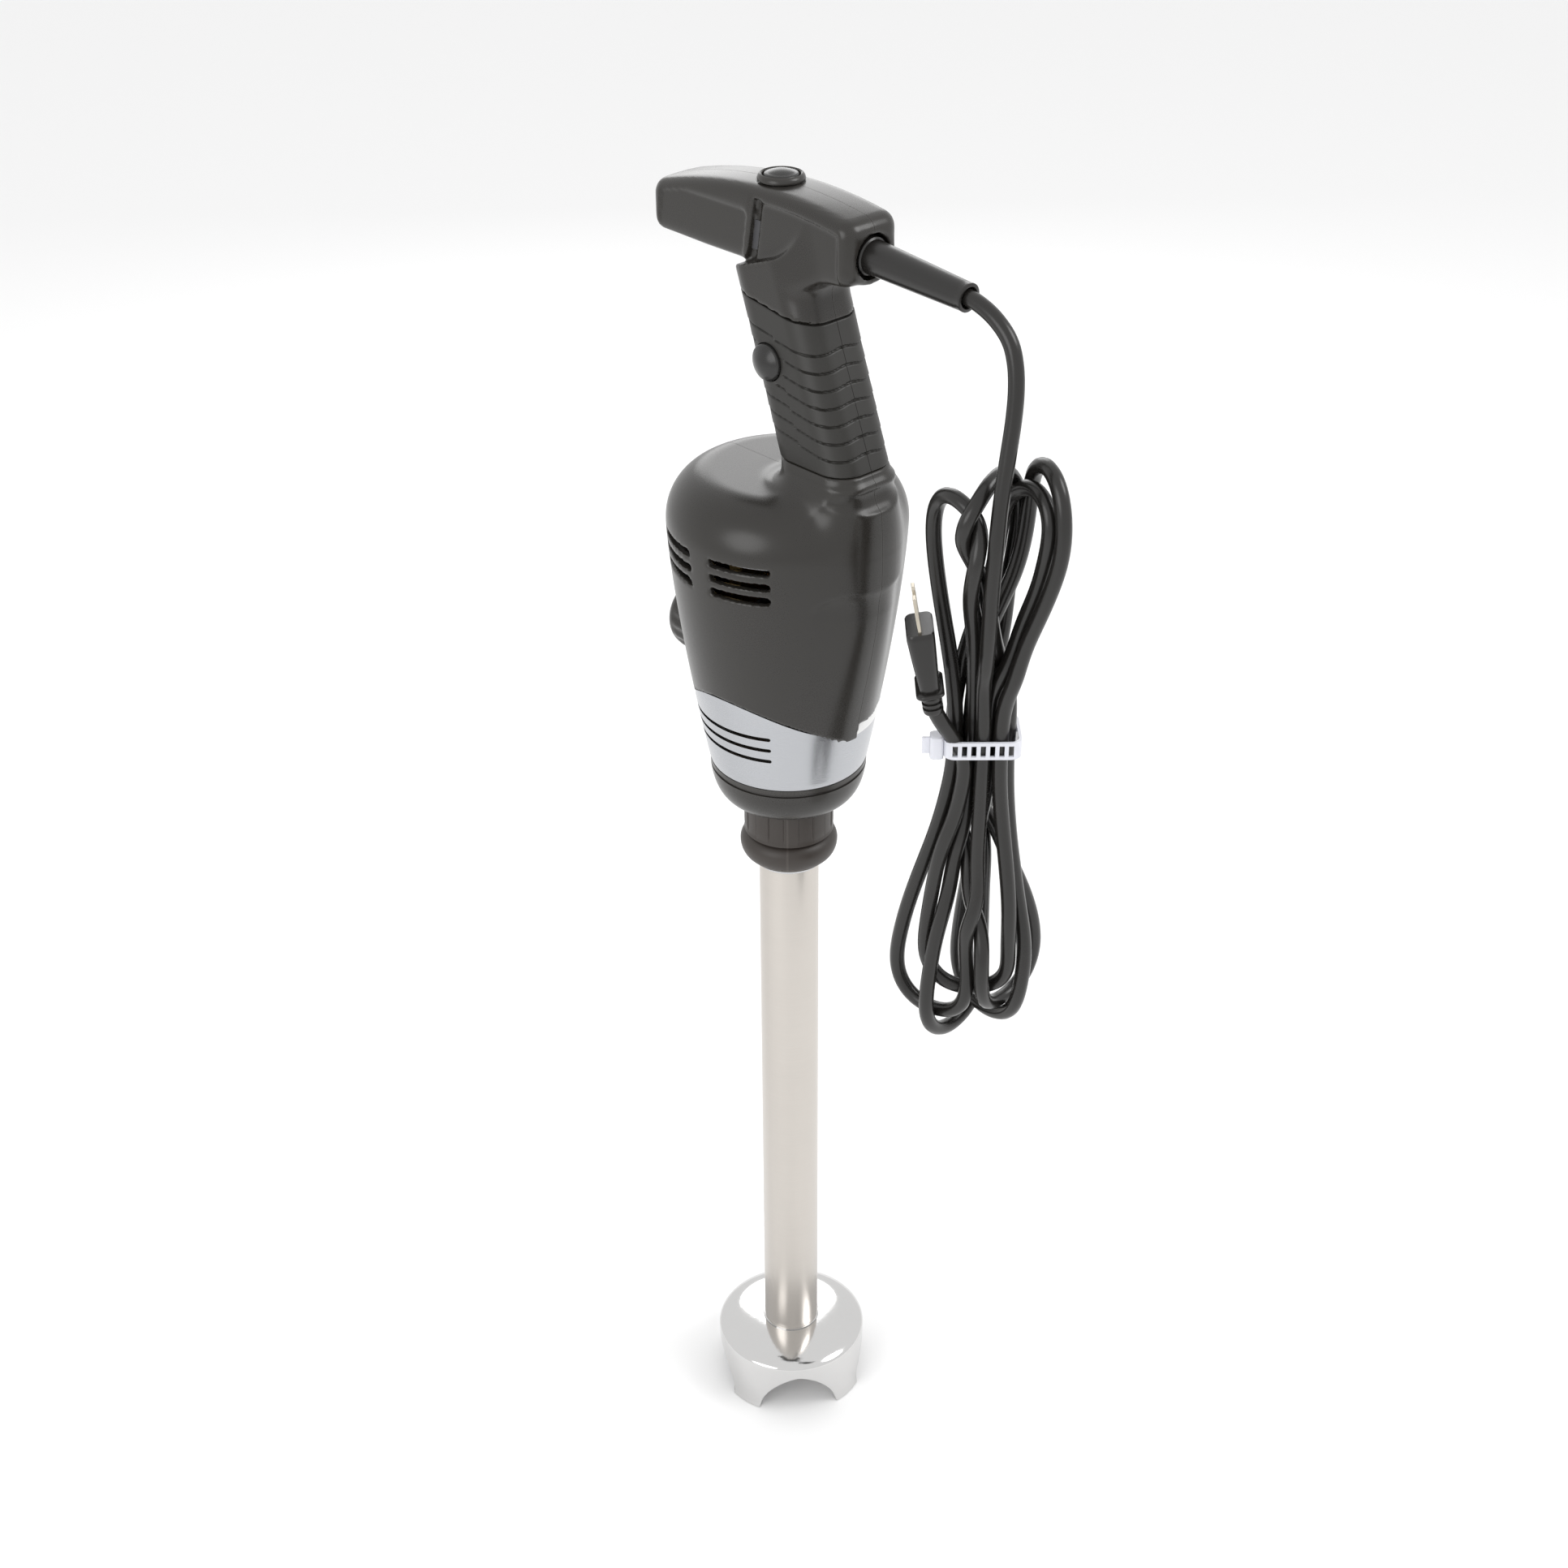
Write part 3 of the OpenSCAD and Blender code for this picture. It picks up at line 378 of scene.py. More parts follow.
def body_field(x, y, z):
    """Distance to the outer surface of the black plastic, negative inside."""
    r = np.hypot(x, y)
    side = (r - side_r(z - BASE_Z)) * 0.985
    qr, qz = (r - (MAX_R - SHOULDER_R)) / SHOULDER_R, (z - SIDE_TOP) / SHOULDER_H
    round_top = (np.hypot(np.maximum(qr, 0), np.maximum(qz, 0)) - 1) * 25
    top = np.where(qz > 0, np.maximum(round_top, z - (SIDE_TOP + SHOULDER_H)), side)
    housing = np.maximum(top, BASE_Z - z)
    gy, gs = grip_coords(y, z)
    grip = np.maximum(box_field(x, gy, GRIP_W / 2, GRIP_L / 2, 14), np.abs(gs - 28) - 56)
    foot = np.maximum(box_field(x, y - 37.5, GRIP_W / 2, 22.5, 13), np.maximum(z - 612, 566 - z))
    # soft rear spine of the housing under the grip, fading into its side lower down
    fade = np.clip((z - 462) / 85, 0, 1)
    rear = np.minimum(63.2, side_r(z - BASE_Z) + 5.6 * fade * fade * (3 - 2 * fade))
    spine = np.maximum(box_field(x, y - (rear - 30), 16 + 0 * x, 30, 14), np.maximum(z - 598, 462 - z))
    body = blend_min(housing, blend_min(grip, foot, 6), 15)
    body = blend_min(body, spine, 12)
    # head: a crowned block with soft edges
    plan = box_field(x, y - (HEAD_FRONT + HEAD_REAR) / 2, HEAD_W / 2, (HEAD_REAR - HEAD_FRONT) / 2, 8)
    roof = z - (crown(y) - 0.9 * (x / 17) ** 2)
    floor = (HEAD_LOW + 0.1 * np.maximum(y - 30, 0) + 0.02 * np.maximum(-40 - y, 0)) - z
    head = blend_max(blend_max(plan, roof, 7), floor, 7)
    # groove between the nose block and the neck, leaning with the neck, and what is set in on either side of it
    lean_y = y - (-8.5 + (HEAD_LOW + 4 - z) * -0.17)
    inward = HEAD_W / 2 - np.abs(x)
    below_crown = z - crown(y)
    waist = np.maximum(inward - 3.2, np.abs(lean_y - 1.6) - 1.9)
    groove = np.maximum(waist, below_crown + 6.5)
    neck_in = np.maximum(np.maximum(inward - 1.7, 1.6 - lean_y), np.maximum(below_crown + 7.0, y - 50))
    nose_side = box_field(lean_y + 33.5 + 0 * x, z - 720.5, 29.5, 11.5, 4)
    panel = np.maximum(np.maximum(inward - 0.9, nose_side), below_crown + 6.5)
    head = blend_max(head, -neck_in, 2.4)
    head = blend_max(head, -groove, 2.6)
    head = blend_max(head, -panel, 1.6)
    under = np.clip((y - 8) / 26, 0, 1)
    body = blend_min(body, head, 3.5 + 13 * under * under * (3 - 2 * under))
    # boss of the speed knob
    boss = np.maximum(np.hypot(x, z - KNOB_Z) - BOSS_R, np.maximum(y + 20, -53.2 - y))
    body = blend_min(body, boss, 3)
    # boss of the cord exit
    collar = np.maximum(np.hypot(x, z - EXIT[2]) - 13, np.maximum(48 - y, y - 56.5))
    return blend_min(body, collar, 2.0)


def cuts_field(x, y, z):
    """What is cut out of the outer surface: recesses, vents and holes."""
    r = np.hypot(x, y)
    h = z - BASE_Z
    sleeve_top = (z - SLEEVE_Z) * math.cos(SLEEVE_TILT) + (y - SLEEVE_Y) * math.sin(SLEEVE_TILT)
    gy, gs = grip_coords(y, z)
    shell = -box_field(x, gy, GRIP_W / 2 - SLEEVE_T, GRIP_L / 2 - SLEEVE_T, 11.5)
    sleeve_span = np.maximum(sleeve_top - 0.25, SLEEVE_LOW - 0.25 - z)
    sleeve = np.maximum(np.maximum(shell, sleeve_span), np.abs(gs - 30) - 60)
    band_low = np.minimum(z - BAND_TOP - 0.2, np.hypot(y - BAND_Y, h) - BAND_R - 0.2)
    band = np.maximum(band_low, side_r(h) - 1.15 - r)
    cut = np.minimum(sleeve, band)
    plate_angle = np.degrees(np.arctan2(y, x))
    plate_edge = np.maximum(np.abs(z - PLATE_Z) - PLATE_HALF, (np.abs(plate_angle - 120) - 28.2) * 0.8)
    cut = np.minimum(cut, np.maximum(plate_edge, side_r(h) - 1.5 - r))
    for k in range(3):
        for a0, a1 in ((7, 39), (-37, -5)):
            vent = slot_field(x, y, z, a0, a1, VENT_Z + VENT_PITCH * k, 2.0)
            cut = np.minimum(cut, np.maximum(vent, 46 - r))
        slot = slot_field(x, y, z, *BAND_SLOT, BAND_SLOT_Z + BAND_SLOT_PITCH * k, 1.5)
        cut = np.minimum(cut, np.maximum(slot, 30 - r))
    cut = np.minimum(cut, np.maximum(np.hypot(x, y - TOP_BUTTON_Y) - 9.7, 732 - z))
    cut = np.minimum(cut, np.maximum(np.hypot(y - SIDE_BUTTON_Y, z - SIDE_BUTTON_Z) - 9.4, 8 - x))
    cut = np.minimum(cut, np.maximum(np.hypot(x, z - EXIT[2]) - 10.6, 50 - y))
    cut = np.minimum(cut, np.maximum(np.hypot(x, z - KNOB_Z) - 3.4, y + 30))
    for y0 in (HEAD_FRONT + 14, HEAD_REAR - 14):
        cut = np.minimum(cut, np.maximum(np.hypot(y - y0, z - SCREW_Z) - 3.0, 14.4 + x))
    return cut


def surface_nets(field, low, cell):
    """Quads around the zero surface of a field sampled on a grid."""
    inside = field < 0
    corner = [(i, j, k) for i in (0, 1) for j in (0, 1) for k in (0, 1)]
    size = np.array(field.shape) - 1

    def at(a, o):
        return a[o[0]:o[0] + size[0], o[1]:o[1] + size[1], o[2]:o[2] + size[2]]

    count = sum(at(inside, o).astype(np.int8) for o in corner)
    active = (count > 0) & (count < 8)
    index = np.full(active.shape, -1, np.int64)
    cells = np.argwhere(active)
    index[active] = np.arange(len(cells))
    values = np.stack([at(field, o)[active] for o in corner], 1)
    total, weight = np.zeros((len(cells), 3)), np.zeros(len(cells))
    for a in range(8):
        for b in range(a + 1, 8):
            if sum(abs(p - q) for p, q in zip(corner[a], corner[b])) != 1:
                continue
            va, vb = values[:, a], values[:, b]
            cross = (va < 0) != (vb < 0)
            t = np.where(cross, va / np.where(cross, va - vb, 1), 0)
            place = np.array(corner[a]) + t[:, None] * (np.array(corner[b]) - np.array(corner[a]))
            total += place * cross[:, None]
            weight += cross
    verts = (cells + total / weight[:, None]) * cell + low
    faces = []
    for axis in range(3):
        step = np.zeros(3, int)
        step[axis] = 1
        first = inside[:-1, :-1, :-1]
        second = inside[step[0]:step[0] + size[0], step[1]:step[1] + size[1], step[2]:step[2] + size[2]]
        change = first != second
        others = [k for k in range(3) if k != axis]
        for k in others:
            cut = [slice(None)] * 3
            cut[k] = 0
            change[tuple(cut)] = False
        where = np.argwhere(change)
        flip = first[change]
        u, v = np.eye(3, dtype=int)[others[0]], np.eye(3, dtype=int)[others[1]]
        quad = np.stack([index[tuple((where - o).T)] for o in (0 * u, u, u + v, v)], 1)
        turn = flip if axis != 1 else ~flip
        quad[turn] = quad[turn][:, ::-1]
        faces.append(quad)
    return verts, np.concatenate(faces)


def half_shell(name, side, verts, faces):
    """One half of the shell, closed at the parting plane."""
    mesh = bpy.data.meshes.new(name + "_skin")
    mesh.from_pydata(verts * MM, [], faces)
    halve(mesh, side, 0.1 * MM)
    obj = bpy.data.objects.new(name + "_skin", mesh)
    bpy.context.collection.objects.link(obj)
    shade(obj, 50)
    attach(obj, "housing")
    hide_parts(name)
    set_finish(obj, "black_plastic")
    return obj


def add_shells():
    low = np.array([-64.4, -82.0, 438.0])
    high = np.array([64.4, 68.0, 750.0])
    axes = [np.arange(a, b, CELL) for a, b in zip(low, high)]
    x, y, z = np.meshgrid(*axes, indexing="ij", sparse=True)
    x, y, z = (np.asarray(a, np.float32) for a in (x, y, z))
    outer = body_field(x + 0 * y + 0 * z, y + 0 * x + 0 * z, z + 0 * x + 0 * y).astype(np.float32)
    full = [a + 0 * outer for a in (x, y, z)]
    cut = cuts_field(*full).astype(np.float32)
    skin = np.maximum(outer, -cut)
    # hollow, with the wall carried round behind every recess
    open_base = np.where(full[2] < BASE_Z + 4, outer + WALL + 1, outer + WALL)
    hollow = np.maximum(skin, -(open_base + 1.2))
    base_hole = np.maximum(np.hypot(full[0], full[1]) - (BASE_R - WALL - 1), full[2] - (BASE_Z + 6))
    hollow = np.maximum(hollow, -base_hole)
    verts, faces = surface_nets(hollow, low, CELL)
    half_shell("shell_left", -1, verts, faces)
    half_shell("shell_right", 1, verts, faces)


add_shells()


# ---------------------------------------------------------------- other outer pieces
def own(obj, body, slot, *nodes):
    """The piece rides on its body, takes its slot's finish and stands for its CAD nodes."""
    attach(obj, body)
    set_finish(obj, slot)
    if nodes:
        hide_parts(*nodes)
    return obj


def join(objs):
    bpy.ops.object.select_all(action="DESELECT")
    for o in objs:
        o.select_set(True)
    bpy.context.view_layer.objects.active = objs[0]
    if len(objs) > 1:
        bpy.ops.object.join()
    return objs[0]


def cut_out(obj, cutters, crossing=False):
    """Takes the cutters out of obj. They may overlap one another only where crossing is set."""
    tool = join(cutters)
    mod = obj.modifiers.new("cut", "BOOLEAN")
    mod.operation, mod.object, mod.solver = "DIFFERENCE", tool, "EXACT"
    mod.use_self = crossing
    bpy.context.view_layer.update()
    mesh = bpy.data.meshes.new_from_object(obj.evaluated_get(bpy.context.evaluated_depsgraph_get()))
    obj.modifiers.clear()
    obj.data = mesh
    bpy.data.objects.remove(tool)
    shade(obj, 35)
    return obj


def ray_cutter(name, outline, r0, r1):
    """A solid through the housing wall with an outline of (angle in degrees, height)."""
    verts = [(r * math.cos(math.radians(a)), r * math.sin(math.radians(a)), z) for r in (r0, r1) for a, z in outline]
    return new_mesh(name, verts, prism_faces(len(outline)), smooth=False)


def slot_outline(a0, a1, z, half, r=46.0):
    """Outline of a round-ended slot."""
    end = math.degrees(half / r)
    turn = np.linspace(-math.pi / 2, math.pi / 2, 9)[1:-1]
    points = [(a, z - half) for a in np.linspace(a0 + end, a1 - end, 15)]
    points += [(a1 - end + end * math.cos(t), z + half * math.sin(t)) for t in turn]
    points += [(a, z + half) for a in np.linspace(a1 - end, a0 + end, 15)]
    points += [(a0 + end - end * math.cos(t), z + half * math.sin(t)) for t in turn[::-1]]
    return points


def band_top(angle):
    """Height of the steel band's upper edge at an angle around the shaft."""
    z = np.full_like(angle, BAND_TOP)
    for _ in range(6):
        y = side_r(z - BASE_Z) * np.sin(angle)
        z = np.maximum(BAND_TOP, BASE_Z + np.sqrt(np.maximum(BAND_R**2 - (y - BAND_Y) ** 2, 0)))
    return z


def add_band():
    sides, rows = 288, 20
    angle = np.linspace(0, 2 * np.pi, sides, endpoint=False)
    top = band_top(angle)
    low = BASE_Z + 0.2
    rings = []
    for inset, order in ((0.0, 1), (1.0, -1)):
        for t in np.linspace(0, 1, rows)[::order]:
            z = low + (top - low) * t
            ease = 0.25 if t in (0.0, 1.0) and inset == 0 else 0.0
            r = side_r(z - BASE_Z) - inset - ease
            rings.append(np.stack([r * np.cos(angle), r * np.sin(angle), z], 1))
    rings.append(rings[0])
    band = new_mesh("steel_band_skin", np.concatenate(rings), grid_faces(len(rings), sides))
    cutters = []
    for k in range(3):
        z = BAND_SLOT_Z + BAND_SLOT_PITCH * k
        cutters.append(ray_cutter("slot", slot_outline(*BAND_SLOT, z, 1.1), 30, 70))
        cutters.append(ray_cutter("slot", slot_outline(180 - BAND_SLOT[1], 180 - BAND_SLOT[0], z, 1.1), 30, 70))
    cutters.append(ray_cutter("slot", slot_outline(91.5, 148.5, PLATE_Z, PLATE_HALF), 30, 70))
    knob = lathe("slot", [(0, 0), (BOSS_R + 0.4, 0), (BOSS_R + 0.4, 60), (0, 60)], 96,
                 place=along((0, -20, KNOB_Z), (0, -1, 0)))
    cutters.append(knob)
    cut_out(band, cutters, crossing=True)
    return own(band, "housing", "brushed_band", "steel_band")


def add_cap():
    spigot, seat, z0, h = 20.0, 28.0, 418.5, 23.0
    wall, rim = 3.0, BASE_Z - 0.2
    points = [(spigot + 0.05, z0)]
    points += [(seat + 2 + (BASE_R - seat - 2) * math.sin(a), z0 + h * (1 - math.cos(a)))
               for a in np.linspace(0, 1.38, 14)]
    points += [(BASE_R - 0.9, rim - 3.9), (BASE_R - 0.9, rim - 2.9), (BASE_R - 0.1, rim - 2.4), (BASE_R - 0.1, rim),
               (BASE_R - wall, rim)]
    points += [(seat + (BASE_R - wall - seat) * math.sin(a), z0 + wall + (h - wall) * (1 - math.cos(a)))
               for a in np.linspace(1.4, 0, 8)]
    points += [(spigot + 0.05, z0 + wall)]
    return own(lathe("housing_cap", points, 160), "housing", "black_plastic", "bottom_cap")


def add_collar():
    z0, top = 378.65, 418.15
    body, lip, bore = 23.4, 26.0, 16.4
    line = [(bore, z0), (bore + 4.5, z0)]
    line += [(lip - 6.2 + 6.2 * math.cos(a), z0 + 9.7 + 9.0 * math.sin(a) * (1 if a < 0 else 0.72))
             for a in np.linspace(-1.3, 1.25, 18)]
    line += [(body + 0.5, z0 + 17.2), (body + 0.1, z0 + 18.6)]
    line += [(body, z) for z in np.linspace(z0 + 19.5, top - 1.0, 12)]
    line += [(body - 0.7, top), (20.9, top), (20.9, z0 + 19.4), (bore, z0 + 19.4)]

    def flute(r, z, angle):
        if r[0] < body - 0.3 or r[0] > body + 0.4 or z < z0 + 18:
            return r
        phase = (np.degrees(angle) / 20.0) % 1.0
        panel = np.clip(np.minimum(phase, 1 - phase) / 0.055, 0, 1)
        ramp = np.clip((z - z0 - 18.4) / 2.5, 0, 1)
        return r + ramp * (0.55 * panel * np.where((np.degrees(angle) // 20) % 2 == 0, 1, 0.35) - 0.15)

    return own(lathe("coupling_collar_skin", line, 540, radius=flute), "collar", "collar_plastic", "coupling_collar")


def rounded_ring(name, r0, r1, z0, z1, radius, steps, sides):
    """A ring of rectangular section with rounded corners."""
    return lathe(name, rounded([(r0, z0), (r1, z0), (r1, z1), (r0, z1)], radius, steps), sides)


def add_tube():
    tube_r = 16.0
    own(rounded_ring("wand_tube", tube_r - 1.5, tube_r, 41, 398, 0.3, 2, 128), "wand", "satin_steel", "shaft_tube")
    own(rounded_ring("collar_stop", tube_r, tube_r + 1.8, 375.3, 378.3, 0.5, 3, 96), "wand", "shaft_steel",
        "retaining_ring")


def add_bell():
    """The bell guard: a domed skirt with an arched opening between each pair of feet."""
    bell_r, wall, top, skirt, neck = 44.0, 2.0, 41.0, 34.0, 17.5
    arch_h, arch_half, first_arch = 27.0, 31, 53
    # more points round the bell where the arches meet the feet
    angle = np.sort(np.concatenate([np.linspace(0, 2 * np.pi, 240, endpoint=False)]
                                   + [math.radians(first_arch + 90 * i) + s * np.linspace(0.50, 0.535, 10)
                                      for i in range(4) for s in (-1, 1)]) % (2 * np.pi))
    half = (bell_r + 1) * math.sin(math.radians(arch_half))
    off = (np.degrees(angle) - first_arch + 45) % 90 - 45
    chord = np.abs(bell_r * np.sin(np.radians(off))) / half
    low = arch_h * np.maximum(1 - np.clip(chord, 0, 1) ** (1 / 0.6), 0) ** (1 / 1.7)
    shape = []
    for a in np.linspace(0, 1, 17):
        shape.append((neck - 1.2 + (bell_r - neck + 1.2) * math.sin(a * math.pi / 2) ** 0.96,
                      skirt + (top - skirt) * math.cos(a * math.pi / 2) ** 1.25))
    rings = []

    def ring(r, z):
        rr = np.broadcast_to(r, angle.shape)
        rings.append(np.stack([rr * np.cos(angle), rr * np.sin(angle), np.broadcast_to(z, angle.shape)], 1))

    ring(16.1, top + 0.9)
    ring(16.9, top + 0.7)
    for r, z in shape:
        ring(r, z)
    steps = np.linspace(0, 1, 16)[1:]
    for t in steps:
        z = skirt + (low - skirt) * t
        ring(bell_r + 1.2 * np.clip((4.5 - z) / 4.5, 0, 1) ** 2 - 0.25 * (t == 1), z)
    for t in steps[::-1]:
        ring(bell_r - wall, skirt + (low - skirt) * t)
    for r, z in shape[::-1]:
        ring(max(r - wall, 12.5), min(z, 39.6) - 1.4)
    ring(12.2, 38.6)
    ring(12.2, top + 0.2)
    rings.append(rings[0])
    bell = new_mesh("bell_skin", np.concatenate(rings), grid_faces(len(rings), len(angle)), crease=38)
    return own(bell, "wand", "polished_steel", "bell_guard")


def add_knob():
    front, depth, r = -55.9, 20.2, 20.0
    line = [(0, 0), (r - 1.2, 0), (r - 0.4, 0.5), (r, 1.4)]
    line += [(r - 0.02 * z, z) for z in np.linspace(2.5, depth * 0.52, 8)]
    line += [(r * math.cos(a) ** 0.5 * 0.985, depth * (0.60 + 0.40 * math.sin(a)))
             for a in np.linspace(0.08, 1.55, 22)]
    line += [(0, depth)]

    def grip(rr, z, angle):
        if z < 2 or z > depth * 0.62:
            return rr
        ramp = np.clip(min((z - 2) / 2.5, (depth * 0.62 - z) / 3), 0, 1)
        return rr + 0.45 * ramp * np.cos(18 * angle)

    knob = lathe("speed_knob_skin", line, 288, radius=grip, place=along((0, front, KNOB_Z), (0, -1, 0)))
    bore = 3.02
    hole = lathe("bore", [(0, -2), (bore, -2), (bore, 15), (0, 15)], 48, place=along((0, front, KNOB_Z), (0, -1, 0)))
    face = front - depth
    notch = new_mesh("notch", [(x, y, z) for x in (-0.8, 0.8) for y in (face - 1, face + 4.5)
                               for z in (KNOB_Z + 9, KNOB_Z + 24)], BOX_FACES, smooth=False)
    cut_out(knob, [hole, notch])
    return own(knob, "speed_dial", "black_plastic", "speed_knob")


def add_buttons():
    z = HEAD_TOP
    bezel = [(8.95, z - 9), (9.55, z - 9), (9.55, z + 0.2), (11.2, z + 0.2), (11.35, z + 0.9), (11.0, z + 2.0),
             (10.4, z + 2.9), (9.7, z + 3.2), (9.1, z + 2.8), (8.9, z + 1.8)]
    own(lathe("button_rim", bezel, 120, place=lambda v: v + np.array([0, TOP_BUTTON_Y, 0])), "housing", "black_plastic",
        "button_bezel")
    face = [(0, z - 13), (2.5, z - 13), (2.5, z - 5), (8.4, z - 5), (8.5, z + 1.6), (8.3, z + 2.5), (7.8, z + 3.1),
            (7.1, z + 3.3)]
    face += [(r, z + 3.2 + 1.7 * (1 - (r / 7.0) ** 2)) for r in np.linspace(6.6, 0, 9)]
    own(lathe("power_button_cap", face, 120, place=lambda v: v + np.array([0, TOP_BUTTON_Y, 0])), "power_button",
        "button_plastic", "top_button")
    x = GRIP_W / 2
    side = [(0, x - 11), (3, x - 11), (3, x - 4.5), (8.8, x - 4.5), (9.0, x - 4.2), (9.0, x + 0.7), (8.8, x + 1.4),
            (8.2, x + 1.9)]
    side += [(r, x + 2.0 + 2.5 * (1 - (r / 7.9) ** 2)) for r in np.linspace(7.6, 0, 12)]
    own(lathe("lock_button_cap", side, 120, place=along((0, SIDE_BUTTON_Y, SIDE_BUTTON_Z), (1, 0, 0))), "lock_button",
        "button_plastic", "side_button")


def grip_outline(count, w, l, r):
    """Points and outward normals around the grip's rounded section, starting at the rear."""
    line = []
    for cx, cy, a0 in ((w / 2 - r, l / 2 - r, 90), (w / 2 - r, -(l / 2 - r), 0), (-(w / 2 - r), -(l / 2 - r), -90),
                       (-(w / 2 - r), l / 2 - r, -180)):
        for a in np.linspace(a0, a0 - 90, 25):
            line.append((cx + r * math.cos(math.radians(a)), cy + r * math.sin(math.radians(a)), 0))
    line.insert(0, (0, l / 2, 0))
    line.append((0, l / 2, 0))
    at = even(np.array(line), 0.05)
    at = at[np.linspace(0, len(at) - 1, count + 1).astype(int)[:-1], :2]
    ahead, behind = np.roll(at, -1, 0), np.roll(at, 1, 0)
    t = ahead - behind
    normal = np.stack([-t[:, 1], t[:, 0]], 1) / np.linalg.norm(t, axis=1)[:, None]
    return at, normal


def add_sleeves():
    count, rows = 208, 190
    at, normal = grip_outline(count, GRIP_W, GRIP_L, 14)
    px, py = at[:, 0], at[:, 1]
    sin_l, cos_l = math.sin(LEAN), math.cos(LEAN)
    low = (SLEEVE_LOW + 0.25 - GRIP_Z - py * sin_l) / cos_l
    ct, st = math.cos(SLEEVE_TILT), math.sin(SLEEVE_TILT)
    above = (GRIP_Z + py * sin_l - SLEEVE_Z) * ct + (GRIP_Y + py * cos_l - SLEEVE_Y) * st
    high = -above / (cos_l * ct - sin_l * st) - 0.25
    rings = []
    for depth, order in ((0.0, 1), (SLEEVE_T - 0.1, -1)):
        for k in range(rows)[::order]:
            t = k / (rows - 1)
            s = low + (high - low) * t
            y = GRIP_Y + py * cos_l - s * sin_l
            z = GRIP_Z + py * sin_l + s * cos_l
            dip = np.zeros(count)
            if depth == 0:
                # ledges that slope down to the rear, each a fine step that fades into the next
                run = (z - SLEEVE_Z) * ct + (y - SLEEVE_Y) * st - 1.2 * np.cos(np.pi * px / 20) * (py > 0)
                edge = (-run - 11.5) / 7.4
                step = edge % 1.0
                inside = np.clip((edge + 0.02) / 0.05, 0, 1) * np.clip((7.0 - edge) / 0.05, 0, 1)
                ledge = np.where(step < 0.17, np.sin(np.clip(step / 0.17, 0, 1) * np.pi), 0) * 0.75
                dip = inside * (ledge + 0.30 * (1 - step)) + 0.35 * (k in (0, rows - 1))
                from_button = np.hypot(y - SIDE_BUTTON_Y, z - SIDE_BUTTON_Z)
                dip = np.where((px > 10) & (from_button < 11.5), np.minimum(dip, 0.1), dip)
            x = px - normal[:, 0] * (depth + dip)
            q = py - normal[:, 1] * (depth + dip)
            rings.append(np.stack([x, GRIP_Y + q * cos_l - s * sin_l, GRIP_Z + q * sin_l + s * cos_l], 1))
    rings.append(rings[0])
    whole = new_mesh("sleeve_whole", np.concatenate(rings), grid_faces(len(rings), count))
    hole = lathe("hole", [(0, 8), (9.45, 8), (9.45, 40), (0, 40)], 96,
                 place=along((0, SIDE_BUTTON_Y, SIDE_BUTTON_Z), (1, 0, 0)))
    cut_out(whole, [hole])
    for side, node in ((-1, "grip_sleeve_left"), (1, "grip_sleeve_right")):
        mesh = whole.data.copy()
        halve(mesh, side, 0.12 * MM)
        obj = bpy.data.objects.new(node + "_skin", mesh)
        bpy.context.collection.objects.link(obj)
        shade(obj, 45)
        own(obj, "housing", "soft_rubber", node)
    bpy.data.objects.remove(whole)


def add_relief():
    out = RELIEF_L
    bore = CORD_D / 2 + 0.05
    line = [(bore, -4), (8.9, -4), (8.9, -1.2), (8.1, -0.6), (7.95, 1.0)]
    line += [(7.95 - 1.5 * (s / out) ** 1.1, s) for s in np.linspace(3, out - 1.6, 22)]
    line += [(6.65, out - 1.0), (6.6, out - 0.3), (6.1, out), (5.1, out), (4.75, out - 0.5), (4.7, out - MOUTH),
             (bore, out - MOUTH)]
    relief = lathe("cord_relief", line, 96, place=along(EXIT, EXIT_DIR))
    return own(relief, "housing", "cord_rubber", "strain_relief")


PLUG = in_hank(-26, 541, 14)


def on_plug(v):
    """Places points made with x across, y through and z along the plug."""
    lean = math.radians(10)
    u = v[:, 0] * math.cos(lean) - v[:, 2] * math.sin(lean)
    h = v[:, 0] * math.sin(lean) + v[:, 2] * math.cos(lean)
    return PLUG + u[:, None] * HANK_U - v[:, 1][:, None] * HANK_V + h[:, None] * np.array([0, 0, 1.0])


def loft(name, sections, place, count=64):
    """Joins rounded rectangles (z, width, depth, corner radius) into a closed body."""
    rings = []
    for z, w, l, r in sections:
        rings.append(np.array([(x, y, z) for x, y in corner_arcs(w, l, r, count // 4)]))
    n = len(rings[0])
    faces = grid_faces(len(rings), n) + [tuple(range(n))[::-1], tuple(range(n * (len(rings) - 1), n * len(rings)))]
    return new_mesh(name, place(np.concatenate(rings)), faces)


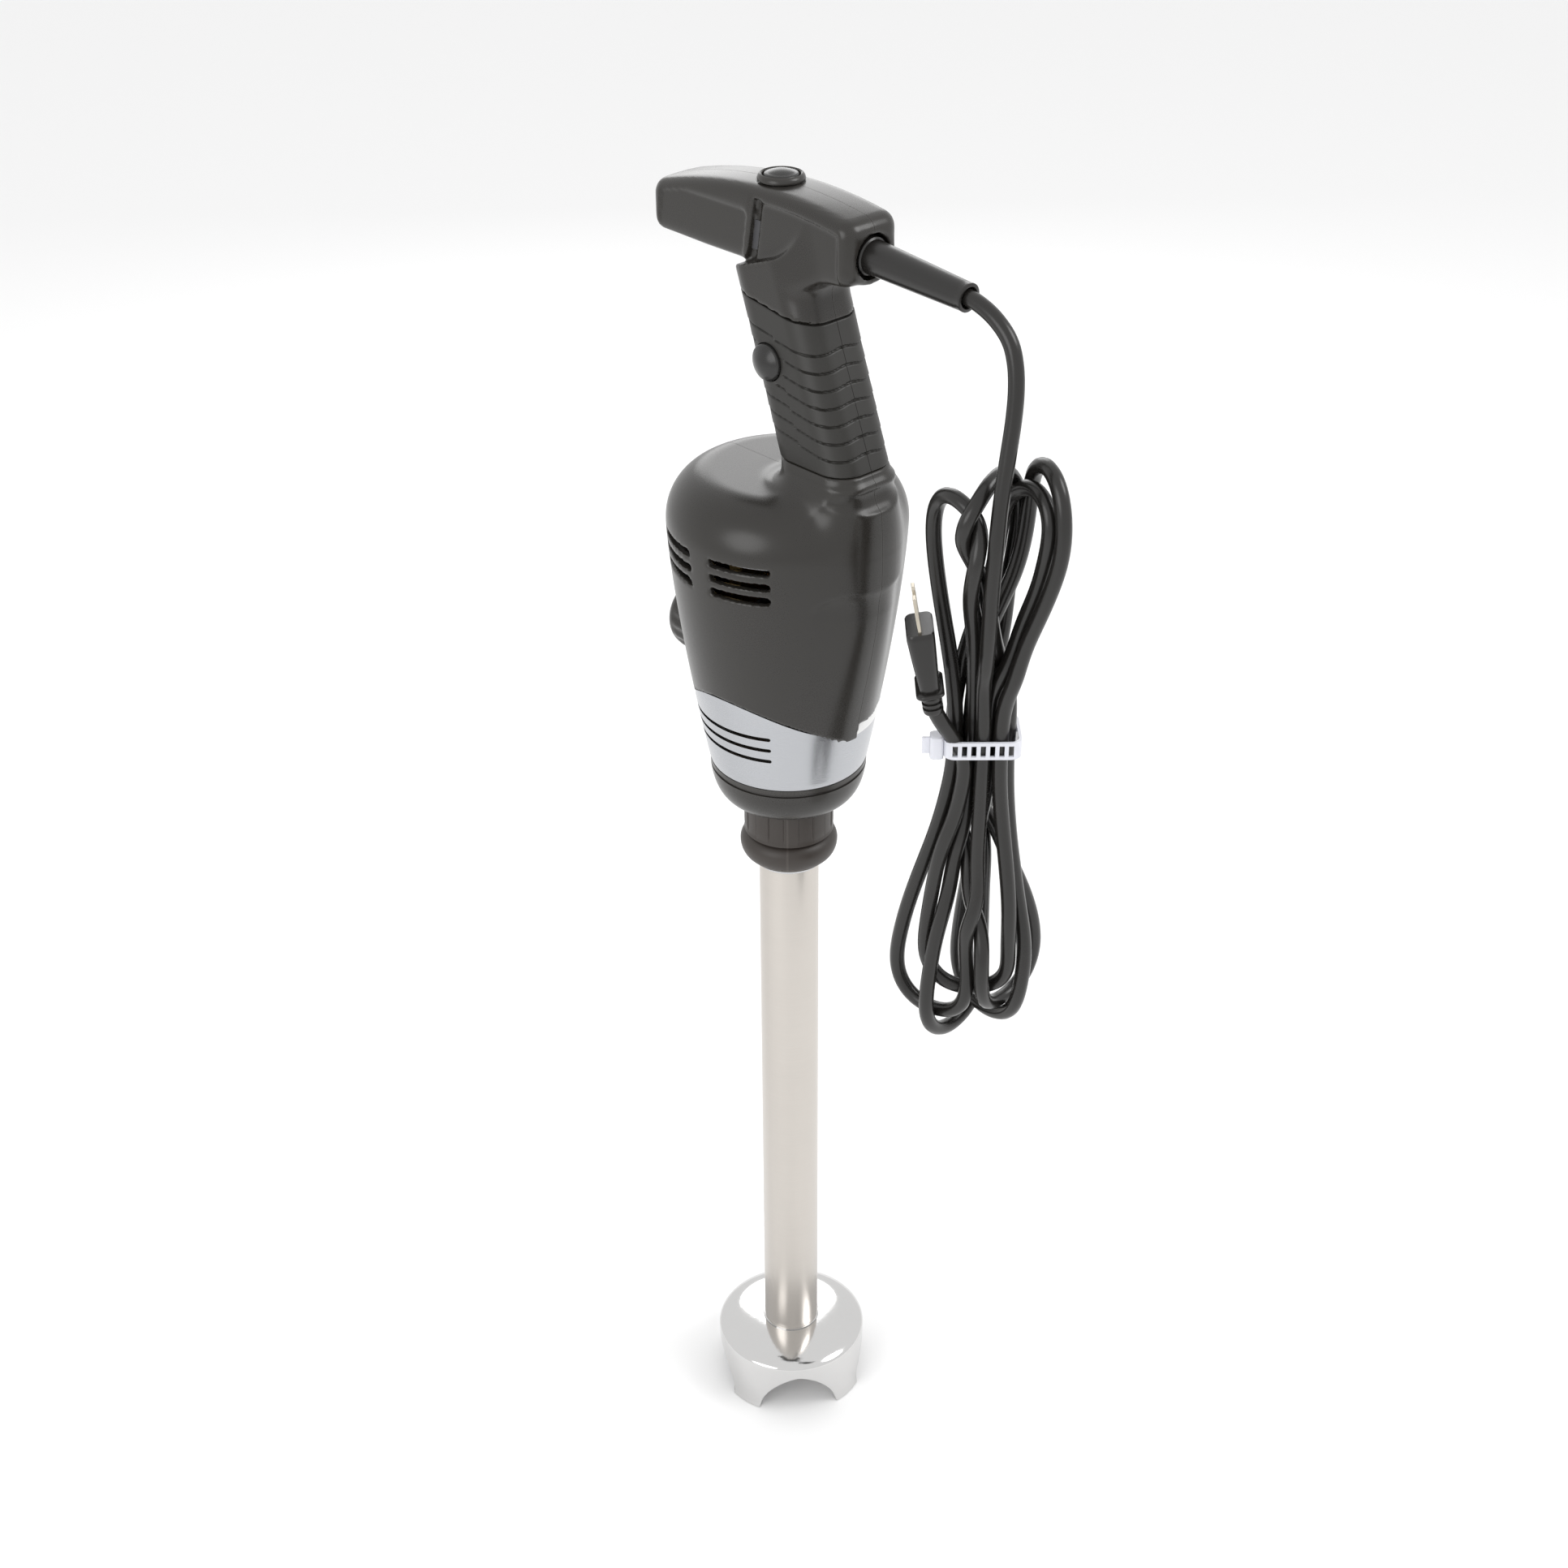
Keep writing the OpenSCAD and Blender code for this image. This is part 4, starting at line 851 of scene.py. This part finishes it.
def add_plug():
    sections = [(-12.4, 8.6, 8.8, 4.2), (-12, 9.2, 9.2, 4.5)]
    for k in range(4):
        z = -11 + 2.8 * k
        sections += [(z, 9.6, 9.8, 4.6), (z + 1.5, 9.8, 10.2, 4.6), (z + 1.6, 8.2, 8.6, 4.0), (z + 2.6, 8.4, 8.8, 4.1)]
    sections += [(0.2, 9.5, 13, 4), (0.5, 12.6, 24.4, 4.2), (0.8, 13.2, 25, 4.4), (2.0, 13.2, 25, 4.4),
                 (2.4, 12.6, 24.4, 4.2), (2.8, 9.2, 21.0, 3.6), (6, 9.6, 22.4, 3.8), (14, 10.8, 23.4, 3.9),
                 (24, 12.2, 24, 4.0), (31, 13.0, 24.2, 3.6), (33.2, 12.8, 24.0, 3.4), (34, 11.8, 23.0, 3.0)]
    body = loft("plug_shell", sections, on_plug)
    own(body, "housing", "cord_rubber", "plug_body")
    blades = []
    for y in (-6.35, 6.35):
        outline = [(-3.2, 30), (3.2, 30), (3.2, 49.2), (2.2, 51), (-2.2, 51), (-3.2, 49.2)]
        turn = np.linspace(0, 2 * np.pi, 24, endpoint=False)
        hole = [(1.5 * math.cos(a), 46.2 + 1.5 * math.sin(a)) for a in turn]
        prong, drill = [
            new_mesh(name, on_plug(np.array([(x, y + p, z) for x in (-half, half) for p, z in shape])),
                     prism_faces(len(shape)), smooth=False)
            for name, shape, half in (("blade", outline, 0.8), ("drill", hole, 3))]
        blades.append(cut_out(prong, [drill]))
    prongs = join(blades)
    prongs.name = "plug_prongs"
    bevel = prongs.modifiers.new("edge", "BEVEL")
    bevel.width, bevel.segments, bevel.limit_method = 0.15 * MM, 2, "ANGLE"
    own(prongs, "housing", "plug_metal", "plug_blades")
    return body, prongs


def hank_box(name, u0, u1, h0, h1, v0, v1):
    verts = [in_hank(u, h, v) for u in (u0, u1) for h in (h0, h1) for v in (v0, v1)]
    return new_mesh(name, verts, BOX_FACES, smooth=False)


def add_tie():
    """A ladder tie: a strap with a row of windows, closed by a buckle."""
    half_u, half_v, t, h = 17.0, 13.0, 1.5, 4.6
    rings = []
    for grow, z in ((0, -h), (t - 0.25, -h), (t, -h + 0.25), (t, h - 0.25), (t - 0.25, h), (0, h)):
        line = []
        for su, sv, a0 in ((1, 1, 0), (-1, 1, 90), (-1, -1, 180), (1, -1, 270)):
            for a in np.linspace(a0, a0 + 90, 11):
                r = 4.0 + grow
                line.append(in_hank(su * (half_u - 4.0) + r * math.cos(math.radians(a)), TIE_Z + z,
                                    sv * (half_v - 4.0) + r * math.sin(math.radians(a))))
        rings.append(np.array(line))
    rings.append(rings[0])
    strap = new_mesh("ladder_tie", np.concatenate(rings), grid_faces(len(rings), len(rings[0])))
    windows = []
    for k in range(7):
        u = -13.2 + 4.4 * k
        windows.append(hank_box("w", u - 1.25, u + 1.25, TIE_Z - 2.9, TIE_Z + 2.9, 9, 20))
        windows.append(hank_box("w", u - 1.25, u + 1.25, TIE_Z - 2.9, TIE_Z + 2.9, -20, -9))
    cut_out(strap, windows)
    own(strap, "housing", "tie_nylon", "cord_tie")
    sections = [(-6.2, 5.0, 6.4, 1.6), (-5.6, 6.4, 7.6, 1.8), (5.6, 6.4, 7.6, 1.8), (6.2, 5.0, 6.4, 1.6)]
    buckle = loft("tie_buckle", sections,
                  lambda v: np.array([in_hank(-21.6 + p[0], TIE_Z + p[2], 8.0 + p[1]) for p in v]), 32)
    cut_out(buckle, [hank_box("w", -30, -10, TIE_Z - 5.0, TIE_Z + 5.0, 6.6, 8.4)])
    own(buckle, "housing", "tie_nylon")
    tail = hank_box("tie_tail", -28.5, -17.5, TIE_Z - 4.4, TIE_Z + 4.4, 6.8, 8.2)
    edge = tail.modifiers.new("edge", "BEVEL")
    edge.width, edge.segments = 0.5 * MM, 3
    own(tail, "housing", "tie_nylon")
    return strap, buckle, tail


add_band()
add_cap()
add_collar()
add_tube()
add_bell()
add_knob()
add_buttons()
add_sleeves()
add_relief()
plug_pieces = add_plug()
tie_pieces = add_tie()


# ---------------------------------------------------------------- materials
def nodes_of(name):
    mat = bpy.data.materials.new(name)
    mat.use_nodes = True
    tree = mat.node_tree
    return mat, tree, tree.nodes["Principled BSDF"]


def add_node(tree, kind, **values):
    node = tree.nodes.new(kind)
    for key, value in values.items():
        if key in node.inputs:
            node.inputs[key].default_value = value
        else:
            setattr(node, key, value)
    return node


def mapped(tree, scale):
    coord = tree.nodes.new("ShaderNodeTexCoord")
    place = tree.nodes.new("ShaderNodeMapping")
    place.inputs["Scale"].default_value = scale
    tree.links.new(coord.outputs["Object"], place.inputs["Vector"])
    return place.outputs["Vector"]


def ranged(tree, value, low, high):
    node = add_node(tree, "ShaderNodeMapRange")
    node.inputs["To Min"].default_value, node.inputs["To Max"].default_value = low, high
    tree.links.new(value, node.inputs["Value"])
    return node.outputs["Result"]


def finish(name, color, rough, metal, grain, bump, spread=0.08, stretch=(1, 1, 1), edge_highlight=0.0, rough_spread=0.06,
           clear=0.0):
    """A procedural finish. Grain is the size of its texture in metres, bump its depth and spread how far the
    colour varies. The edge amount paints a highlight: it lightens the colour along convex edges. Clear lets light
    through."""
    mat, tree, shader = nodes_of(name)
    link = tree.links.new
    fine = add_node(tree, "ShaderNodeTexNoise", Scale=1.0, Detail=4.0, Roughness=0.6)
    link(mapped(tree, tuple(s / grain for s in stretch)), fine.inputs["Vector"])
    broad = add_node(tree, "ShaderNodeTexNoise", Scale=22.0, Detail=3.0, Roughness=0.55)
    link(mapped(tree, (1, 1, 1)), broad.inputs["Vector"])
    mix = add_node(tree, "ShaderNodeMix", data_type="RGBA")
    mix.inputs["A"].default_value = (*[c * (1 - spread) for c in color], 1)
    mix.inputs["B"].default_value = (*[min(1, c * (1 + spread)) for c in color], 1)
    both = add_node(tree, "ShaderNodeMath", operation="MULTIPLY_ADD")
    link(fine.outputs["Fac"], both.inputs[0])
    both.inputs[1].default_value = 0.5
    half = add_node(tree, "ShaderNodeMath", operation="MULTIPLY")
    link(broad.outputs["Fac"], half.inputs[0])
    half.inputs[1].default_value = 0.5
    link(half.outputs[0], both.inputs[2])
    link(both.outputs[0], mix.inputs["Factor"])
    shade_out = mix.outputs["Result"]
    # painted highlight: lighter colour along convex edges, standing in for the bright rim that the white surroundings
    # give them
    if edge_highlight:
        geometry = tree.nodes.new("ShaderNodeNewGeometry")
        edge = add_node(tree, "ShaderNodeMapRange")
        edge.inputs["From Min"].default_value, edge.inputs["From Max"].default_value = 0.515, 0.60
        link(geometry.outputs["Pointiness"], edge.inputs["Value"])
        edge_highlighted = add_node(tree, "ShaderNodeMix", data_type="RGBA")
        edge_highlighted.inputs["B"].default_value = (*[min(1, c * (1 + edge_highlight) + 0.01) for c in color], 1)
        link(edge.outputs["Result"], edge_highlighted.inputs["Factor"])
        link(shade_out, edge_highlighted.inputs["A"])
        shade_out = edge_highlighted.outputs["Result"]
    link(shade_out, shader.inputs["Base Color"])
    link(ranged(tree, both.outputs[0], rough - rough_spread, rough + rough_spread), shader.inputs["Roughness"])
    shader.inputs["Metallic"].default_value = metal
    if clear:
        shader.inputs["Transmission Weight"].default_value = clear
        shader.inputs["IOR"].default_value = 1.45
    relief = add_node(tree, "ShaderNodeBump", Strength=1.0, Distance=bump)
    link(fine.outputs["Fac"], relief.inputs["Height"])
    link(relief.outputs["Normal"], shader.inputs["Normal"])
    return mat


AROUND = (0.01, 0.01, 1.0)
FINISHES = {
    # slot: colour, roughness, metal, grain, bump, then the rest
    # the edge value among the rest paints a highlight along convex edges
    "black_plastic": ((0.020, 0.0180, 0.0155), 0.28, 0.0, 0.00045, 0.000012, dict(spread=0.10, edge_highlight=0.35)),
    "soft_rubber": ((0.018, 0.0168, 0.0145), 0.42, 0.0, 0.00035, 0.000018, dict(spread=0.12)),
    "brushed_band": ((0.47, 0.48, 0.50), 0.27, 1.0, 0.0004, 0.000010,
                     dict(spread=0.06, stretch=AROUND, rough_spread=0.07)),
    "collar_plastic": ((0.034, 0.027, 0.0225), 0.45, 0.0, 0.0005, 0.000016, dict(spread=0.10, edge_highlight=0.3)),
    "spigot_alloy": ((0.32, 0.32, 0.33), 0.35, 1.0, 0.0004, 0.00001, dict(stretch=AROUND)),
    "plate_white": ((0.86, 0.86, 0.85), 0.32, 0.0, 0.0008, 0.000006, dict(spread=0.02)),
    "button_plastic": ((0.014, 0.0135, 0.0128), 0.27, 0.0, 0.0005, 0.000008, dict(spread=0.10, edge_highlight=0.3)),
    "spring_steel": ((0.52, 0.52, 0.53), 0.25, 1.0, 0.0005, 0.000008, {}),
    "switch_plastic": ((0.05, 0.05, 0.055), 0.45, 0.0, 0.0006, 0.00001, {}),
    "board_green": ((0.02, 0.13, 0.05), 0.35, 0.0, 0.0012, 0.00002, dict(spread=0.25)),
    "cast_alloy": ((0.50, 0.50, 0.51), 0.48, 1.0, 0.0009, 0.00004, dict(spread=0.12)),
    "iron_stack": ((0.20, 0.20, 0.21), 0.45, 0.9, 0.0005, 0.00006, dict(spread=0.3, stretch=AROUND)),
    "copper": ((0.62, 0.27, 0.12), 0.32, 1.0, 0.0006, 0.00008, dict(spread=0.25, stretch=AROUND)),
    "shaft_steel": ((0.55, 0.55, 0.56), 0.24, 1.0, 0.0004, 0.000008, dict(stretch=AROUND)),
    "fan_nylon": ((0.55, 0.54, 0.49), 0.42, 0.0, 0.0007, 0.00001, {}),
    "brass": ((0.70, 0.50, 0.20), 0.30, 1.0, 0.0006, 0.00001, {}),
    "carbon": ((0.04, 0.04, 0.043), 0.6, 0.0, 0.0004, 0.00003, dict(spread=0.2)),
    "cord_rubber": ((0.013, 0.012, 0.011), 0.26, 0.0, 0.0006, 0.000014, dict(spread=0.12)),
    "tie_nylon": ((0.86, 0.87, 0.93), 0.22, 0.0, 0.0009, 0.00001, dict(spread=0.03, clear=0.25)),
    "plug_metal": ((0.60, 0.55, 0.46), 0.26, 1.0, 0.0005, 0.00001, dict(spread=0.1)),
    "satin_steel": ((0.60, 0.565, 0.525), 0.30, 1.0, 0.00035, 0.000012,
                    dict(spread=0.07, stretch=AROUND, rough_spread=0.05)),
    "polished_steel": ((0.66, 0.655, 0.65), 0.09, 1.0, 0.0030, 0.000020, dict(spread=0.03, rough_spread=0.03)),
    "bronze": ((0.50, 0.33, 0.15), 0.45, 1.0, 0.0005, 0.00003, dict(spread=0.2)),
    "seal_rubber": ((0.22, 0.05, 0.03), 0.5, 0.0, 0.0006, 0.00001, {}),
}
materials = {slot: finish(slot + "_finish", *values[:5], **values[5]) for slot, values in FINISHES.items()}


def dress():
    """Gives every piece and every shown CAD node the finish of its slot."""
    cad = {o.name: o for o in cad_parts.values()}
    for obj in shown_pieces():
        if obj.name in cad:
            for k, place in enumerate(obj.material_slots):
                place.link = "OBJECT"
                place.material = materials[cad_slot[obj.name]]
        else:
            obj.data.materials.clear()
            obj.data.materials.append(materials[obj["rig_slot"]])


cad_slot = {o.name: o.material_slots[0].material.name.split(".")[0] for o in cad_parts.values()}
dress()


# ---------------------------------------------------------------- stage
def add_stage():
    bpy.ops.mesh.primitive_grid_add(size=8, x_subdivisions=8, y_subdivisions=8, location=(0, 0, -0.0004))
    floor = bpy.context.object
    floor.name = "floor"
    mat = bpy.data.materials.new("floor_paint")
    mat.use_nodes = True
    shader = mat.node_tree.nodes["Principled BSDF"]
    shader.inputs["Base Color"].default_value = (0.93, 0.93, 0.93, 1)
    shader.inputs["Roughness"].default_value = 0.75
    floor.data.materials.append(mat)
    world = bpy.data.worlds.new("studio")
    bpy.context.scene.world = world
    world.use_nodes = True
    world.node_tree.nodes["Background"].inputs[0].default_value = (1, 1, 1, 1)
    world.node_tree.nodes["Background"].inputs[1].default_value = 0.95
    for name, place, size, power in (("key", (-0.9, 1.2, 1.9), 1.0, 12), ("fill", (1.7, 0.2, 1.1), 1.2, 8),
                                     ("front", (-1.2, -1.4, 1.2), 1.2, 6)):
        light = bpy.data.lights.new(name, "AREA")
        light.shape, light.size, light.energy = "DISK", size, power
        obj = bpy.data.objects.new(name, light)
        obj.location = place
        obj.rotation_euler = (Vector((0, 0, 0.45)) - Vector(place)).to_track_quat("-Z", "Y").to_euler()
        bpy.context.collection.objects.link(obj)
    bpy.context.scene.view_settings.view_transform = "Standard"


add_stage()
